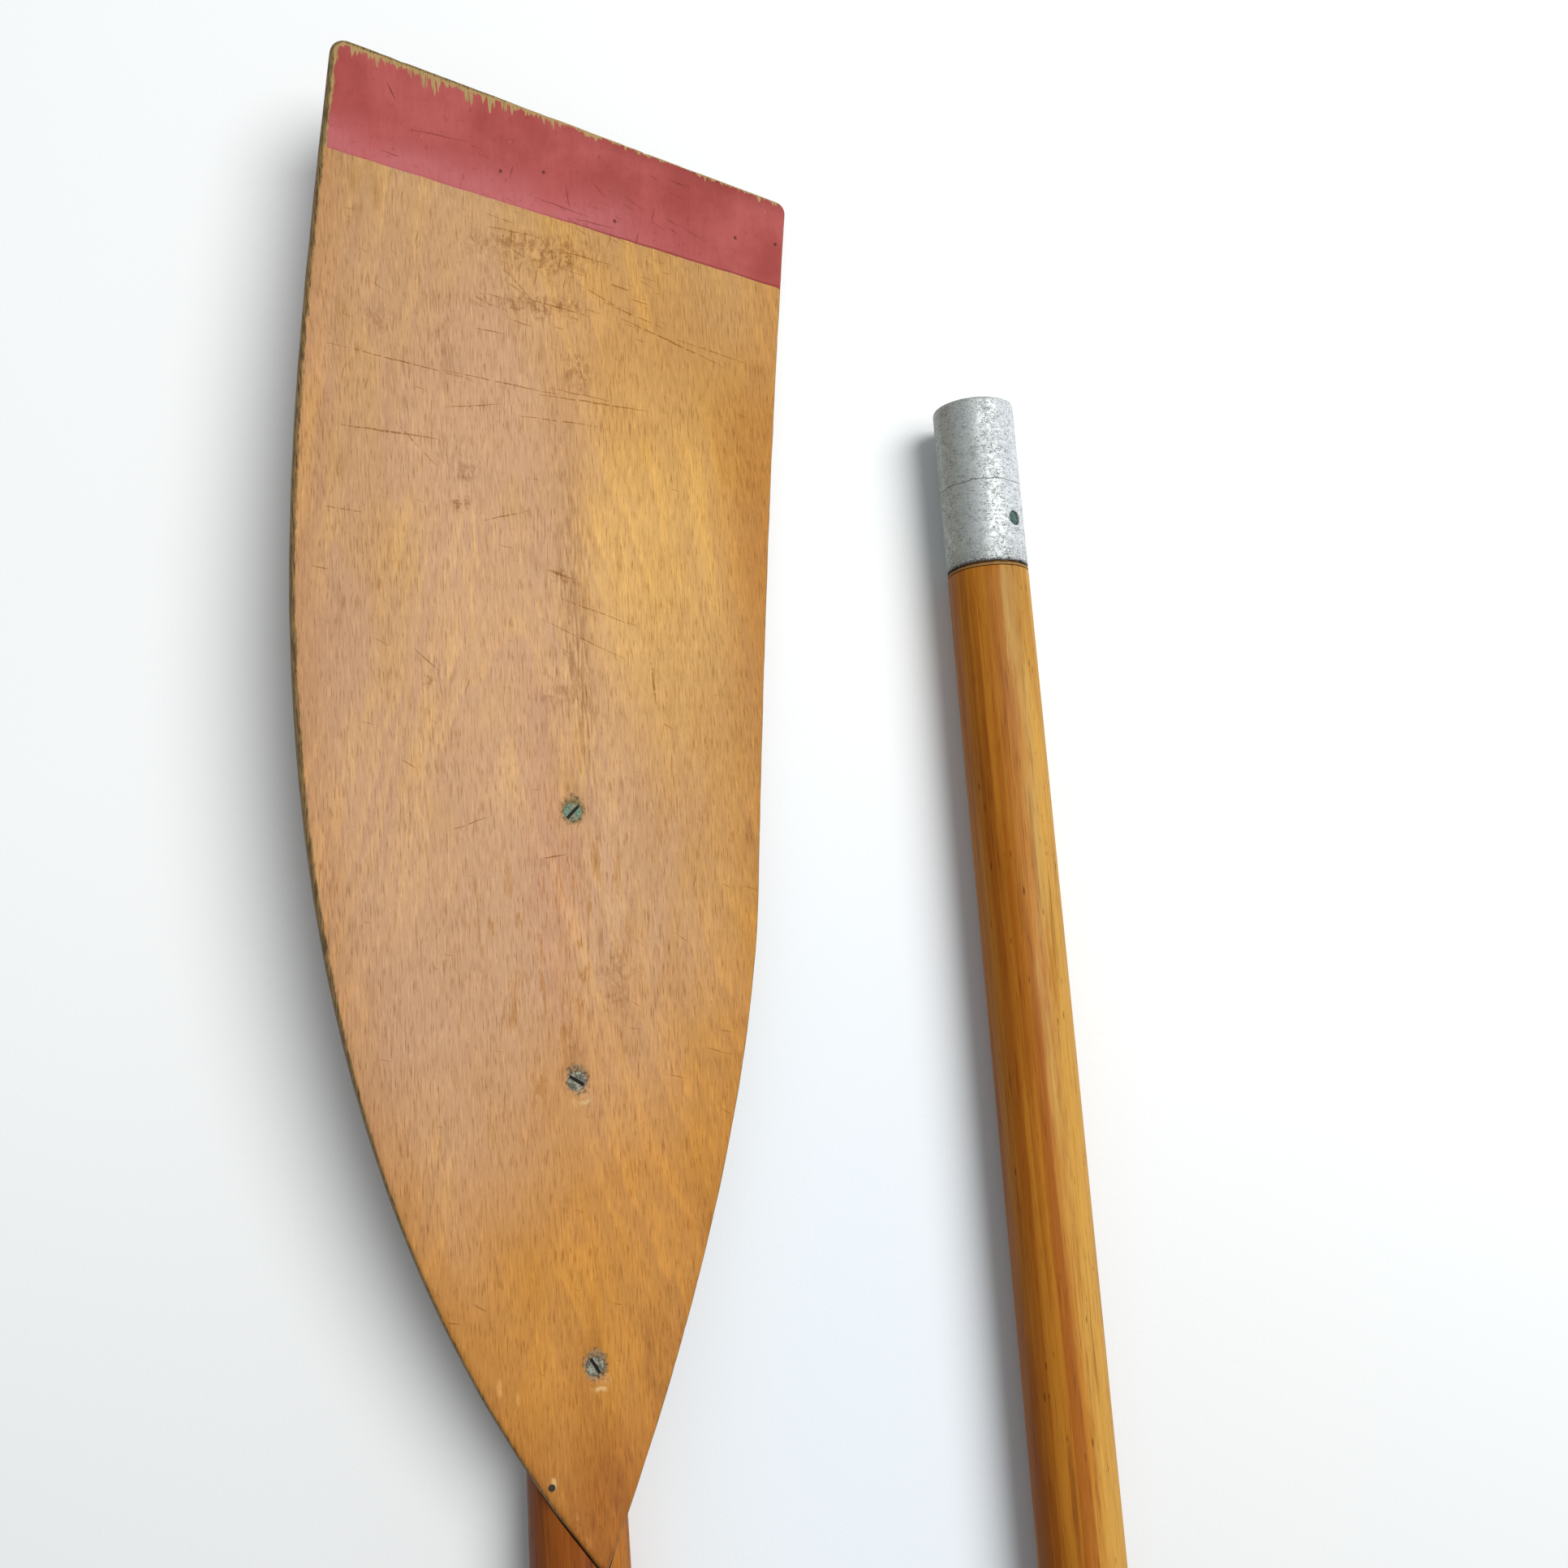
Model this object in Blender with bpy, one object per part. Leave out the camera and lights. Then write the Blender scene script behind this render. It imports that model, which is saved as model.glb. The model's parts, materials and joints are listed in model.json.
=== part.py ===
"""Take-apart rowing oar: a blade section and a loose handle section lying side by side.

Metres, +Z up. The blade shaft lies along Y with the blade towards +Y. The origin is on the
ground at the middle of the laid-out oar's footprint. The sizes below are measured from the
blade's heel, where the blade runs out on its shaft, with the shaft's axis at x = 0.
"""

import math

import bmesh
import bpy
from mathutils import Matrix, Vector

# Shared sizes
GAP = 0.0003
RING_STEPS = 48
AXIS_HEIGHT = 0.017
SMOOTH_BELOW = math.radians(35.0)
BLADE_ROLL = math.radians(15.0)

# Blade board
BOARD_THICKNESS = 0.006
PLY_NAMES = (
    "blade_face_ply",
    "blade_upper_cross_ply",
    "blade_core_ply",
    "blade_lower_cross_ply",
    "blade_back_ply",
)
PLY_EDGE_INSETS = (0.0008, 0.0002, 0.0, 0.0002, 0.0008)
HEEL = (0.006, 0.0)
RIGHT_SHOULDER = (0.0744, 0.220)
TIP_RIGHT = (0.1053, 0.4923)
TIP_LEFT = (-0.0653, 0.545)
LEFT_BULGE = (-0.0853, 0.320)
TIP_RIGHT_RADIUS = 0.004
TIP_LEFT_RADIUS = 0.007
CORNER_FULLNESS = 0.45
CURVE_STEPS = 14
CORNER_STEPS = 5

# How the blade's edge bends between those points: the handles of its four curves
LOWER_RIGHT_BEND = ((0.036, 0.063), (0.0662, 0.145))
UPPER_RIGHT_BEND = ((0.0827, 0.310), (0.093, 0.402))
UPPER_LEFT_BEND = ((-0.0748, 0.467), (-0.0853, 0.390))
LOWER_LEFT_BEND = ((-0.0853, 0.200), (-0.062, 0.092))
RIGHT_EDGE_AT_TIP = (-0.137, -1.0)
LEFT_EDGE_AT_TIP = (-0.12, -1.0)

# Blade shaft
SHAFT_RADIUS = 0.017
SHAFT_TOE_Y = 0.300
SHAFT_TOE_UNDERSIDE = 0.003
SHAFT_TOE_HALF_WIDTH = 0.012
SHAFT_TAPER_START_Y = -0.030
SHAFT_TAPER_STEPS = 10
SHAFT_SHOULDER_Y = -0.340

# Socket tube on the blade shaft
SOCKET_LENGTH = 0.125
SOCKET_BORE_RADIUS = 0.0152
TENON_A_LENGTH = 0.060
RIM_CHAMFER = 0.0005

# Fastenings: (across, along) on the blade board, and the angle of the screw's slot
SCREWS = (
    ((0.0083, 0.254), 45.0),
    ((0.0048, 0.161), -35.0),
    ((0.0060, 0.067), -60.0),
)
SCREW_HEAD_RADIUS = 0.0032
SCREW_SHANK_RADIUS = 0.0016
SCREW_HEAD_DEPTH = 0.0022
SCREW_LENGTH = 0.0135
SCREW_SLOT_WIDTH = 0.0009
SCREW_SLOT_DEPTH = 0.0010
BRADS = ((-0.0105, 0.031), (0.0105, 0.024))
BRAD_HEAD_RADIUS = 0.0012
BRAD_SHANK_RADIUS = 0.0007
BRAD_HEAD_DEPTH = 0.0008
BRAD_LENGTH = 0.0125
FASTENER_RIM = 0.0003
FASTENER_POINT = 0.2
HOLE_ABOVE_FACE = 0.0012
FASTENER_STEPS = 20

# Cross pins through the two ferrule parts
PIN_RADIUS = 0.0025
PIN_RECESS = 0.0003
PIN_ANGLE = math.radians(40.6)
PIN_FROM_EDGE = 0.0165
PIN_STEPS = 20

# Handle section
HANDLE_X = 0.1691
SPIGOT_TIP_Y = 0.398
SLEEVE_LENGTH = 0.0627
SLEEVE_RADIUS = 0.015
SLEEVE_BORE_RADIUS = 0.0138
TENON_B_RADIUS = 0.0135
TENON_B_RECESS = 0.0015
BEAD_THICKNESS = 0.0010
BEAD_RADIUS = 0.0151
HANDLE_LENGTH = 1.250
GRIP_LENGTH = 0.130
GRIP_RADIUS = 0.0168
GRIP_WAIST_RADIUS = 0.0158
GRIP_END_WALL = 0.006
GRIP_DOME = 0.005
GRIP_RIBS = 6
GRIP_RIB_FALL = 0.2
GRIP_WAIST_END = 0.4
GRIP_RIB_RISE = 0.6
GRIP_STEPS = 32
ROWLOCK_SLEEVE_LENGTH = 0.090
ROWLOCK_SLEEVE_FROM_TIP = 0.430
ROWLOCK_SLEEVE_RADIUS = 0.0169
ROWLOCK_GROOVE_DEPTH = 0.0008
ROWLOCK_GROOVE_HALF_WIDTH = 0.0015
ROWLOCK_GROOVES = 3
ROWLOCK_STEPS = 40

BEECH = (0.58, 0.35, 0.18)
CROSS_PLY_TONE = 0.7

AXIS_A = Vector((0.0, 0.0, AXIS_HEIGHT))
AXIS_B = Vector((HANDLE_X, 0.0, AXIS_HEIGHT))


def clear_scene():
    for item in list(bpy.data.objects):
        bpy.data.objects.remove(item, do_unlink=True)


def make_material(name, colour, roughness, metallic=0.0):
    material = bpy.data.materials.new(name)
    material.use_nodes = True
    shader = material.node_tree.nodes["Principled BSDF"]
    shader.inputs["Base Color"].default_value = (*colour, 1.0)
    shader.inputs["Roughness"].default_value = roughness
    shader.inputs["Metallic"].default_value = metallic
    return material


def add_object(name, mesh_data, material, parent):
    item = bpy.data.objects.new(name, mesh_data)
    bpy.context.scene.collection.objects.link(item)
    item.data.materials.append(material)
    item.parent = parent
    return item


def add_empty(name, location, roll=0.0):
    empty = bpy.data.objects.new(name, None)
    empty.location = location
    empty.rotation_euler = (0.0, roll, 0.0)
    bpy.context.scene.collection.objects.link(empty)
    return empty


def shade_round(item):
    item.data.shade_smooth()
    item.data.set_sharp_from_angle(angle=SMOOTH_BELOW)


def mesh_from(bm, name):
    bmesh.ops.recalc_face_normals(bm, faces=bm.faces)
    mesh_data = bpy.data.meshes.new(name)
    bm.to_mesh(mesh_data)
    bm.free()
    return mesh_data


def bridge_rings(bm, rings, closed):
    """Join rings of equal size one after another, and the last to the first if closed."""
    count = len(rings[0])
    pairs = list(zip(rings, rings[1:]))
    if closed:
        pairs.append((rings[-1], rings[0]))
    for lower, upper in pairs:
        for i in range(count):
            j = (i + 1) % count
            bm.faces.new((lower[i], lower[j], upper[j], upper[i]))


def turned_mesh(name, profile, steps=RING_STEPS, closed=False):
    """Turn (radius, y) points about the Y axis. An open profile is capped at both ends."""
    bm = bmesh.new()
    rings = []
    for radius, y in profile:
        ring = []
        for i in range(steps):
            angle = 2.0 * math.pi * i / steps
            ring.append(bm.verts.new((radius * math.cos(angle), y, radius * math.sin(angle))))
        rings.append(ring)
    bridge_rings(bm, rings, closed)
    if not closed:
        bm.faces.new(rings[0])
        bm.faces.new(rings[-1])
    return mesh_from(bm, name)


def tube_profile(outer, bore, y_low, y_high, chamfer):
    return [
        (outer - chamfer, y_low),
        (outer, y_low + chamfer),
        (outer, y_high - chamfer),
        (outer - chamfer, y_high),
        (bore + chamfer / 2.0, y_high),
        (bore, y_high - chamfer),
        (bore, y_low + chamfer),
        (bore + chamfer / 2.0, y_low),
    ]


def bezier(start, handle_a, handle_b, end, steps):
    """Points on a cubic curve, without its last one."""
    points = []
    for i in range(steps):
        t = i / steps
        u = 1.0 - t
        weights = (u * u * u, 3.0 * u * u * t, 3.0 * u * t * t, t * t * t)
        control = (start, handle_a, handle_b, end)
        x = sum(w * p[0] for w, p in zip(weights, control))
        y = sum(w * p[1] for w, p in zip(weights, control))
        points.append((x, y))
    return points


def stepped(point, direction, distance):
    length = math.hypot(*direction)
    x = point[0] + direction[0] / length * distance
    y = point[1] + direction[1] / length * distance
    return (x, y)


def rounded_corner(corner, towards_before, towards_after, size):
    start = stepped(corner, towards_before, size)
    end = stepped(corner, towards_after, size)
    handle_a = stepped(corner, towards_before, size * CORNER_FULLNESS)
    handle_b = stepped(corner, towards_after, size * CORNER_FULLNESS)
    return bezier(start, handle_a, handle_b, end, CORNER_STEPS) + [end]


def blade_outline():
    """The board's edge as (across, along) points, from the heel up the right side."""
    tip_line = (TIP_LEFT[0] - TIP_RIGHT[0], TIP_LEFT[1] - TIP_RIGHT[1])
    back_along_tip = (-tip_line[0], -tip_line[1])
    right_corner = rounded_corner(TIP_RIGHT, RIGHT_EDGE_AT_TIP, tip_line, TIP_RIGHT_RADIUS)
    left_corner = rounded_corner(TIP_LEFT, back_along_tip, LEFT_EDGE_AT_TIP, TIP_LEFT_RADIUS)
    points = bezier(HEEL, *LOWER_RIGHT_BEND, RIGHT_SHOULDER, CURVE_STEPS)
    points += bezier(RIGHT_SHOULDER, *UPPER_RIGHT_BEND, right_corner[0], CURVE_STEPS)
    points += right_corner
    points += left_corner
    points += bezier(left_corner[-1], *UPPER_LEFT_BEND, LEFT_BULGE, CURVE_STEPS)[1:]
    points += bezier(LEFT_BULGE, *LOWER_LEFT_BEND, HEEL, CURVE_STEPS)
    return points


def grown(points, distance):
    """The outline moved outwards by distance along its normals, or inwards if negative."""
    moved = []
    count = len(points)
    for i, (x, y) in enumerate(points):
        before = points[i - 1]
        after = points[(i + 1) % count]
        along = Vector((after[0] - before[0], after[1] - before[1])).normalized()
        moved.append((x + along.y * distance, y - along.x * distance))
    return moved


def plate_mesh(name, points, z_low, z_high):
    bm = bmesh.new()
    lower = [bm.verts.new((x, y, z_low)) for x, y in points]
    upper = [bm.verts.new((x, y, z_high)) for x, y in points]
    bridge_rings(bm, [lower, upper], closed=False)
    bm.faces.new(lower)
    bm.faces.new(upper)
    return mesh_from(bm, name)


def upright(mesh_data, across, along):
    """Stand a turned mesh on end at a place on the board, its head at the board's top face."""
    place = Matrix.Translation((across, along, SHAFT_RADIUS))
    mesh_data.transform(place @ Matrix.Rotation(math.pi / 2.0, 4, "X"))
    return mesh_data


def fastener_mesh(name, head_radius, shank_radius, head_depth, length, grow=0.0, above_face=0.0):
    """A countersunk fastener: head at y = 0, point at -length. Its hole is grown and reaches above."""
    profile = [
        (head_radius + grow, above_face),
        (head_radius + grow, -FASTENER_RIM),
        (shank_radius + grow, -head_depth - grow),
        (shank_radius + grow, -length + 2.0 * shank_radius),
        (shank_radius * FASTENER_POINT + grow, -length - grow),
    ]
    return turned_mesh(name, profile, FASTENER_STEPS)


def hole_cutter(name, size, across, along, parent):
    mesh_data = fastener_mesh(name, *size, grow=GAP, above_face=HOLE_ABOVE_FACE)
    return add_cutter(name, upright(mesh_data, across, along), parent)


def slot_mesh(name, across, along, angle):
    bm = bmesh.new()
    bmesh.ops.create_cube(bm, size=1.0)
    slot = mesh_from(bm, name)
    size = Matrix.Diagonal((4.0 * SCREW_HEAD_RADIUS, SCREW_SLOT_WIDTH, 2.0 * SCREW_SLOT_DEPTH, 1.0))
    turn = Matrix.Rotation(math.radians(angle), 4, "Z")
    slot.transform(Matrix.Translation((across, along, SHAFT_RADIUS)) @ turn @ size)
    return slot


def add_cutter(name, mesh_data, parent):
    cutter = bpy.data.objects.new(name, mesh_data)
    bpy.context.scene.collection.objects.link(cutter)
    cutter.parent = parent
    cutter.hide_render = True
    cutter.display_type = "WIRE"
    return cutter


def cut(item, cutter):
    modifier = item.modifiers.new("cut_" + cutter.name, "BOOLEAN")
    modifier.operation = "DIFFERENCE"
    modifier.solver = "EXACT"
    modifier.object = cutter


def add_blade_board(parent, cutters, materials):
    outline = blade_outline()
    count = len(PLY_NAMES)
    ply = (BOARD_THICKNESS - GAP * (count - 1)) / count
    for i, name in enumerate(PLY_NAMES):
        top = SHAFT_RADIUS - i * (ply + GAP)
        points = grown(outline, -PLY_EDGE_INSETS[i])
        item = add_object(name, plate_mesh(name, points, top - ply, top), materials[name], parent)
        for cutter in cutters:
            cut(item, cutter)


def shaft_ring(bm, y, half_width, top, underside):
    centre = (top + underside) / 2.0
    half_height = (top - underside) / 2.0
    ring = []
    for i in range(RING_STEPS):
        angle = 2.0 * math.pi * i / RING_STEPS
        x = half_width * math.cos(angle)
        z = centre + half_height * math.sin(angle)
        ring.append(bm.verts.new((x, y, z)))
    return ring


def blade_shaft_mesh(name):
    """A round shaft with a tenon for the socket, thinned from below under the blade."""
    tenon = SOCKET_BORE_RADIUS - GAP
    bm = bmesh.new()
    rings = [
        shaft_ring(bm, SHAFT_SHOULDER_Y - TENON_A_LENGTH, tenon, tenon, -tenon),
        shaft_ring(bm, SHAFT_SHOULDER_Y + GAP, tenon, tenon, -tenon),
        shaft_ring(bm, SHAFT_SHOULDER_Y + GAP, SHAFT_RADIUS, SHAFT_RADIUS, -SHAFT_RADIUS),
    ]
    for i in range(SHAFT_TAPER_STEPS + 1):
        t = i / SHAFT_TAPER_STEPS
        y = SHAFT_TAPER_START_Y + (SHAFT_TOE_Y - SHAFT_TAPER_START_Y) * t
        ease = t * t * (3.0 - 2.0 * t)
        width = SHAFT_RADIUS + (SHAFT_TOE_HALF_WIDTH - SHAFT_RADIUS) * ease
        underside = -SHAFT_RADIUS + (SHAFT_TOE_UNDERSIDE + SHAFT_RADIUS) * ease
        rings.append(shaft_ring(bm, y, width, SHAFT_RADIUS, underside))
    bridge_rings(bm, rings, closed=False)
    bm.faces.new(rings[0])
    bm.faces.new(rings[-1])
    return mesh_from(bm, name)


def pin_mesh(name, radius, half_length, y):
    """A cross pin through a ferrule part, lying across the shaft's axis at y along it."""
    mesh_data = turned_mesh(name, [(radius, -half_length), (radius, half_length)], PIN_STEPS)
    stand = Matrix.Rotation(math.pi / 2.0, 4, "X")
    lean = Matrix.Rotation(PIN_ANGLE, 4, "Y")
    mesh_data.transform(Matrix.Translation((0.0, y, 0.0)) @ lean @ stand)
    return mesh_data


def add_blade_shaft(parent, cutters, pin_cutter, material):
    item = add_object("blade_shaft", blade_shaft_mesh("blade_shaft"), material, parent)
    seat = SHAFT_RADIUS - BOARD_THICKNESS - GAP
    recess = plate_mesh("seat_cutter", grown(blade_outline(), GAP), seat, 2.0 * SHAFT_RADIUS)
    cut(item, add_cutter("seat_cutter", recess, parent))
    for cutter in cutters:
        cut(item, cutter)
    cut(item, pin_cutter)
    shade_round(item)


def add_fasteners(parent, material):
    """Screws and brads through the blade, and the cutters that make their holes."""
    cutters = []
    screw_size = (SCREW_HEAD_RADIUS, SCREW_SHANK_RADIUS, SCREW_HEAD_DEPTH, SCREW_LENGTH)
    brad_size = (BRAD_HEAD_RADIUS, BRAD_SHANK_RADIUS, BRAD_HEAD_DEPTH, BRAD_LENGTH)
    for i, ((across, along), slot_angle) in enumerate(SCREWS, start=1):
        name = f"blade_screw_{i}"
        item = add_object(name, upright(fastener_mesh(name, *screw_size), across, along), material, parent)
        slot = slot_mesh(name + "_slot", across, along, slot_angle)
        cut(item, add_cutter(name + "_slot", slot, parent))
        cutters.append(hole_cutter(name + "_hole", screw_size, across, along, parent))
    for i, (across, along) in enumerate(BRADS, start=1):
        name = f"neck_brad_{i}"
        add_object(name, upright(fastener_mesh(name, *brad_size), across, along), material, parent)
        cutters.append(hole_cutter(name + "_hole", brad_size, across, along, parent))
    return cutters


def add_socket(parent, materials):
    """The female ferrule tube and its pin, at the far end of the blade shaft."""
    top = SHAFT_SHOULDER_Y
    profile = tube_profile(SHAFT_RADIUS, SOCKET_BORE_RADIUS, top - SOCKET_LENGTH, top, RIM_CHAMFER)
    tube = turned_mesh("socket_tube", profile, closed=True)
    item = add_object("socket_tube", tube, materials["metal"], parent)
    pin_y = top - PIN_FROM_EDGE
    hole = pin_mesh("socket_pin_hole", PIN_RADIUS + GAP, 2.0 * SHAFT_RADIUS, pin_y)
    cutter = add_cutter("socket_pin_hole", hole, parent)
    cut(item, cutter)
    shade_round(item)
    pin = pin_mesh("socket_pin", PIN_RADIUS, SHAFT_RADIUS - PIN_RECESS, pin_y)
    shade_round(add_object("socket_pin", pin, materials["brass"], parent))
    return cutter


def add_blade_section(materials):
    parent = add_empty("blade_section_axis", AXIS_A, BLADE_ROLL)
    cutters = add_fasteners(parent, materials["screw"])
    add_blade_board(parent, cutters, materials)
    pin_cutter = add_socket(parent, materials)
    add_blade_shaft(parent, cutters, pin_cutter, materials["shaft"])


def add_handle_loom(parent, pin_cutter, material):
    shoulder = SPIGOT_TIP_Y - SLEEVE_LENGTH - 2.0 * GAP - BEAD_THICKNESS
    end = SPIGOT_TIP_Y - HANDLE_LENGTH
    profile = [
        (TENON_B_RADIUS, end + GRIP_END_WALL + GAP),
        (TENON_B_RADIUS, end + GRIP_LENGTH + GAP),
        (SLEEVE_RADIUS, end + GRIP_LENGTH + GAP),
        (SLEEVE_RADIUS, shoulder),
        (TENON_B_RADIUS, shoulder),
        (TENON_B_RADIUS, SPIGOT_TIP_Y - TENON_B_RECESS),
    ]
    item = add_object("handle_loom", turned_mesh("handle_loom", profile), material, parent)
    cut(item, pin_cutter)
    shade_round(item)


def add_spigot(parent, materials):
    """The male ferrule sleeve, flush with the loom, and the pin that holds it."""
    low = SPIGOT_TIP_Y - SLEEVE_LENGTH
    profile = tube_profile(SLEEVE_RADIUS, SLEEVE_BORE_RADIUS, low, SPIGOT_TIP_Y, RIM_CHAMFER)
    sleeve = turned_mesh("spigot_sleeve", profile, closed=True)
    item = add_object("spigot_sleeve", sleeve, materials["metal"], parent)
    pin_y = low + PIN_FROM_EDGE
    hole = pin_mesh("spigot_pin_hole", PIN_RADIUS + GAP, 2.0 * SLEEVE_RADIUS, pin_y)
    cutter = add_cutter("spigot_pin_hole", hole, parent)
    cut(item, cutter)
    shade_round(item)
    pin = pin_mesh("spigot_pin", PIN_RADIUS, SLEEVE_RADIUS - PIN_RECESS, pin_y)
    shade_round(add_object("spigot_pin", pin, materials["brass"], parent))
    return cutter


def add_hand_grip(parent, material):
    """A ribbed rubber grip with a shallow domed end, pushed over the loom's thin end."""
    end = SPIGOT_TIP_Y - HANDLE_LENGTH
    mouth = end + GRIP_LENGTH
    bore = [(TENON_B_RADIUS + GAP, mouth), (TENON_B_RADIUS + GAP, end + GRIP_END_WALL)]
    outer = [(GRIP_RADIUS - GRIP_DOME, end), (GRIP_RADIUS, end + GRIP_DOME)]
    pitch = (GRIP_LENGTH - 3.0 * GRIP_DOME) / GRIP_RIBS
    for i in range(GRIP_RIBS):
        start = end + 2.0 * GRIP_DOME + i * pitch
        outer.append((GRIP_RADIUS, start))
        outer.append((GRIP_WAIST_RADIUS, start + pitch * GRIP_RIB_FALL))
        outer.append((GRIP_WAIST_RADIUS, start + pitch * GRIP_WAIST_END))
        outer.append((GRIP_RADIUS, start + pitch * GRIP_RIB_RISE))
    outer.append((GRIP_RADIUS - GAP, mouth))
    profile = outer + bore
    mesh_data = turned_mesh("hand_grip", profile, GRIP_STEPS)
    shade_round(add_object("hand_grip", mesh_data, material, parent))


def add_shoulder_bead(parent, material):
    low = SPIGOT_TIP_Y - SLEEVE_LENGTH - GAP - BEAD_THICKNESS
    profile = tube_profile(BEAD_RADIUS, SLEEVE_BORE_RADIUS, low, low + BEAD_THICKNESS, RIM_CHAMFER / 2.0)
    bead = turned_mesh("shoulder_bead", profile, closed=True)
    shade_round(add_object("shoulder_bead", bead, material, parent))


def add_rowlock_sleeve(parent, material):
    """A grooved rubber sleeve that slides along the loom."""
    top = SPIGOT_TIP_Y - ROWLOCK_SLEEVE_FROM_TIP
    low = top - ROWLOCK_SLEEVE_LENGTH
    bore = SLEEVE_RADIUS + GAP
    outer = [(ROWLOCK_SLEEVE_RADIUS - RIM_CHAMFER, low), (ROWLOCK_SLEEVE_RADIUS, low + RIM_CHAMFER)]
    pitch = ROWLOCK_SLEEVE_LENGTH / (ROWLOCK_GROOVES + 1)
    valley = ROWLOCK_SLEEVE_RADIUS - ROWLOCK_GROOVE_DEPTH
    for i in range(1, ROWLOCK_GROOVES + 1):
        centre = low + i * pitch
        outer.append((ROWLOCK_SLEEVE_RADIUS, centre - ROWLOCK_GROOVE_HALF_WIDTH))
        outer.append((valley, centre))
        outer.append((ROWLOCK_SLEEVE_RADIUS, centre + ROWLOCK_GROOVE_HALF_WIDTH))
    outer += [(ROWLOCK_SLEEVE_RADIUS, top - RIM_CHAMFER), (ROWLOCK_SLEEVE_RADIUS - RIM_CHAMFER, top)]
    profile = outer + [(bore, top), (bore, low)]
    mesh_data = turned_mesh("rowlock_sleeve", profile, ROWLOCK_STEPS, closed=True)
    shade_round(add_object("rowlock_sleeve", mesh_data, material, parent))


def add_handle_section(materials):
    sliding = add_empty("rowlock_sleeve_axis", AXIS_B)
    bead = add_empty("shoulder_bead_axis", AXIS_B)
    handle = add_empty("handle_section_axis", AXIS_B)
    add_rowlock_sleeve(sliding, materials["rubber"])
    add_shoulder_bead(bead, materials["sealant"])
    pin_cutter = add_spigot(handle, materials)
    add_handle_loom(handle, pin_cutter, materials["loom"])
    add_hand_grip(handle, materials["grip"])


def make_materials():
    materials = {
        "shaft": make_material("shaft_wood", (0.45, 0.19, 0.05), 0.38),
        "loom": make_material("loom_wood", (0.47, 0.20, 0.05), 0.32),
        "metal": make_material("ferrule_metal", (0.55, 0.58, 0.57), 0.38, 1.0),
        "brass": make_material("pin_brass", (0.28, 0.27, 0.12), 0.5, 1.0),
        "screw": make_material("screw_brass", (0.35, 0.33, 0.2), 0.45, 1.0),
        "sealant": make_material("shoulder_sealant", (0.05, 0.045, 0.03), 0.7),
        "rubber": make_material("sleeve_rubber", (0.03, 0.03, 0.03), 0.75),
        "grip": make_material("grip_rubber", (0.035, 0.03, 0.028), 0.8),
    }
    for i, name in enumerate(PLY_NAMES):
        tone = 1.0 if i % 2 == 0 else CROSS_PLY_TONE
        materials[name] = make_material(name, tuple(tone * channel for channel in BEECH), 0.42)
    return materials


def move_origin_to_footprint():
    """Shift the parent empties so that the middle of the oar's footprint is the origin."""
    bpy.context.view_layer.update()
    corners = []
    for item in bpy.data.objects:
        if item.type == "MESH" and not item.hide_render:
            corners += [item.matrix_world @ vertex.co for vertex in item.data.vertices]
    middle_x = (min(p.x for p in corners) + max(p.x for p in corners)) / 2.0
    middle_y = (min(p.y for p in corners) + max(p.y for p in corners)) / 2.0
    for item in bpy.data.objects:
        if item.type == "EMPTY":
            item.location -= Vector((middle_x, middle_y, 0.0))


def main():
    clear_scene()
    materials = make_materials()
    add_blade_section(materials)
    add_handle_section(materials)
    move_origin_to_footprint()


main()
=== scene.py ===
import json
import math

import bmesh
import bpy
from mathutils import Matrix, Vector, geometry, noise


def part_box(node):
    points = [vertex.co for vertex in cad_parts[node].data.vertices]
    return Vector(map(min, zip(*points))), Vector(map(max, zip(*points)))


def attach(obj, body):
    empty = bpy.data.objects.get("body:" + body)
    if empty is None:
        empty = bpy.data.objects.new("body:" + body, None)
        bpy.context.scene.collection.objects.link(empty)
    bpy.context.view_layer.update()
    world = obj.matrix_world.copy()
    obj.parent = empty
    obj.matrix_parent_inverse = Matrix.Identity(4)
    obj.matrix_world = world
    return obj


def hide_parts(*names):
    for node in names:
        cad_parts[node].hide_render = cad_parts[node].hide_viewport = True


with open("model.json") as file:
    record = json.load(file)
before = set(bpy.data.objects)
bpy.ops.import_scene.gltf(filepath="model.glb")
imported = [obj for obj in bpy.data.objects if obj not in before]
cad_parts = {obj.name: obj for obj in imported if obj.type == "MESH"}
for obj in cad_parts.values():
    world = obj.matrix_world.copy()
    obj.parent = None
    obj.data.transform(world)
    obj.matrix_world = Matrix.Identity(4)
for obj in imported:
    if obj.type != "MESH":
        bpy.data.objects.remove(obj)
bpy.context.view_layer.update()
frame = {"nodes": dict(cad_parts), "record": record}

# Where the two sections lie, from the frame
SOCKET_LOW, SOCKET_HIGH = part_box("socket_tube")
SLEEVE_LOW, SLEEVE_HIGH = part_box("spigot_sleeve")
BEAD_LOW, BEAD_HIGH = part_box("shoulder_bead")
ROWLOCK_LOW, ROWLOCK_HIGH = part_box("rowlock_sleeve")
GRIP_LOW, GRIP_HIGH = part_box("hand_grip")
AXIS_A = (SOCKET_LOW + SOCKET_HIGH) / 2
AXIS_B = (SLEEVE_LOW + SLEEVE_HIGH) / 2
SHAFT_RADIUS = (SOCKET_HIGH.x - SOCKET_LOW.x) / 2
LOOM_RADIUS = (SLEEVE_HIGH.x - SLEEVE_LOW.x) / 2
SOCKET_TO_HEEL = 0.34
HEEL_Y = SOCKET_HIGH.y + SOCKET_TO_HEEL
TIP_B_Y = SLEEVE_HIGH.y

MOUNTS = {mount["name"]: mount for mount in frame["record"]["mounts"]}
FACE_NORMAL = MOUNTS["blade_face"]["axis"]
BLADE_ROLL = math.atan2(FACE_NORMAL[0], FACE_NORMAL[2])

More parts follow.
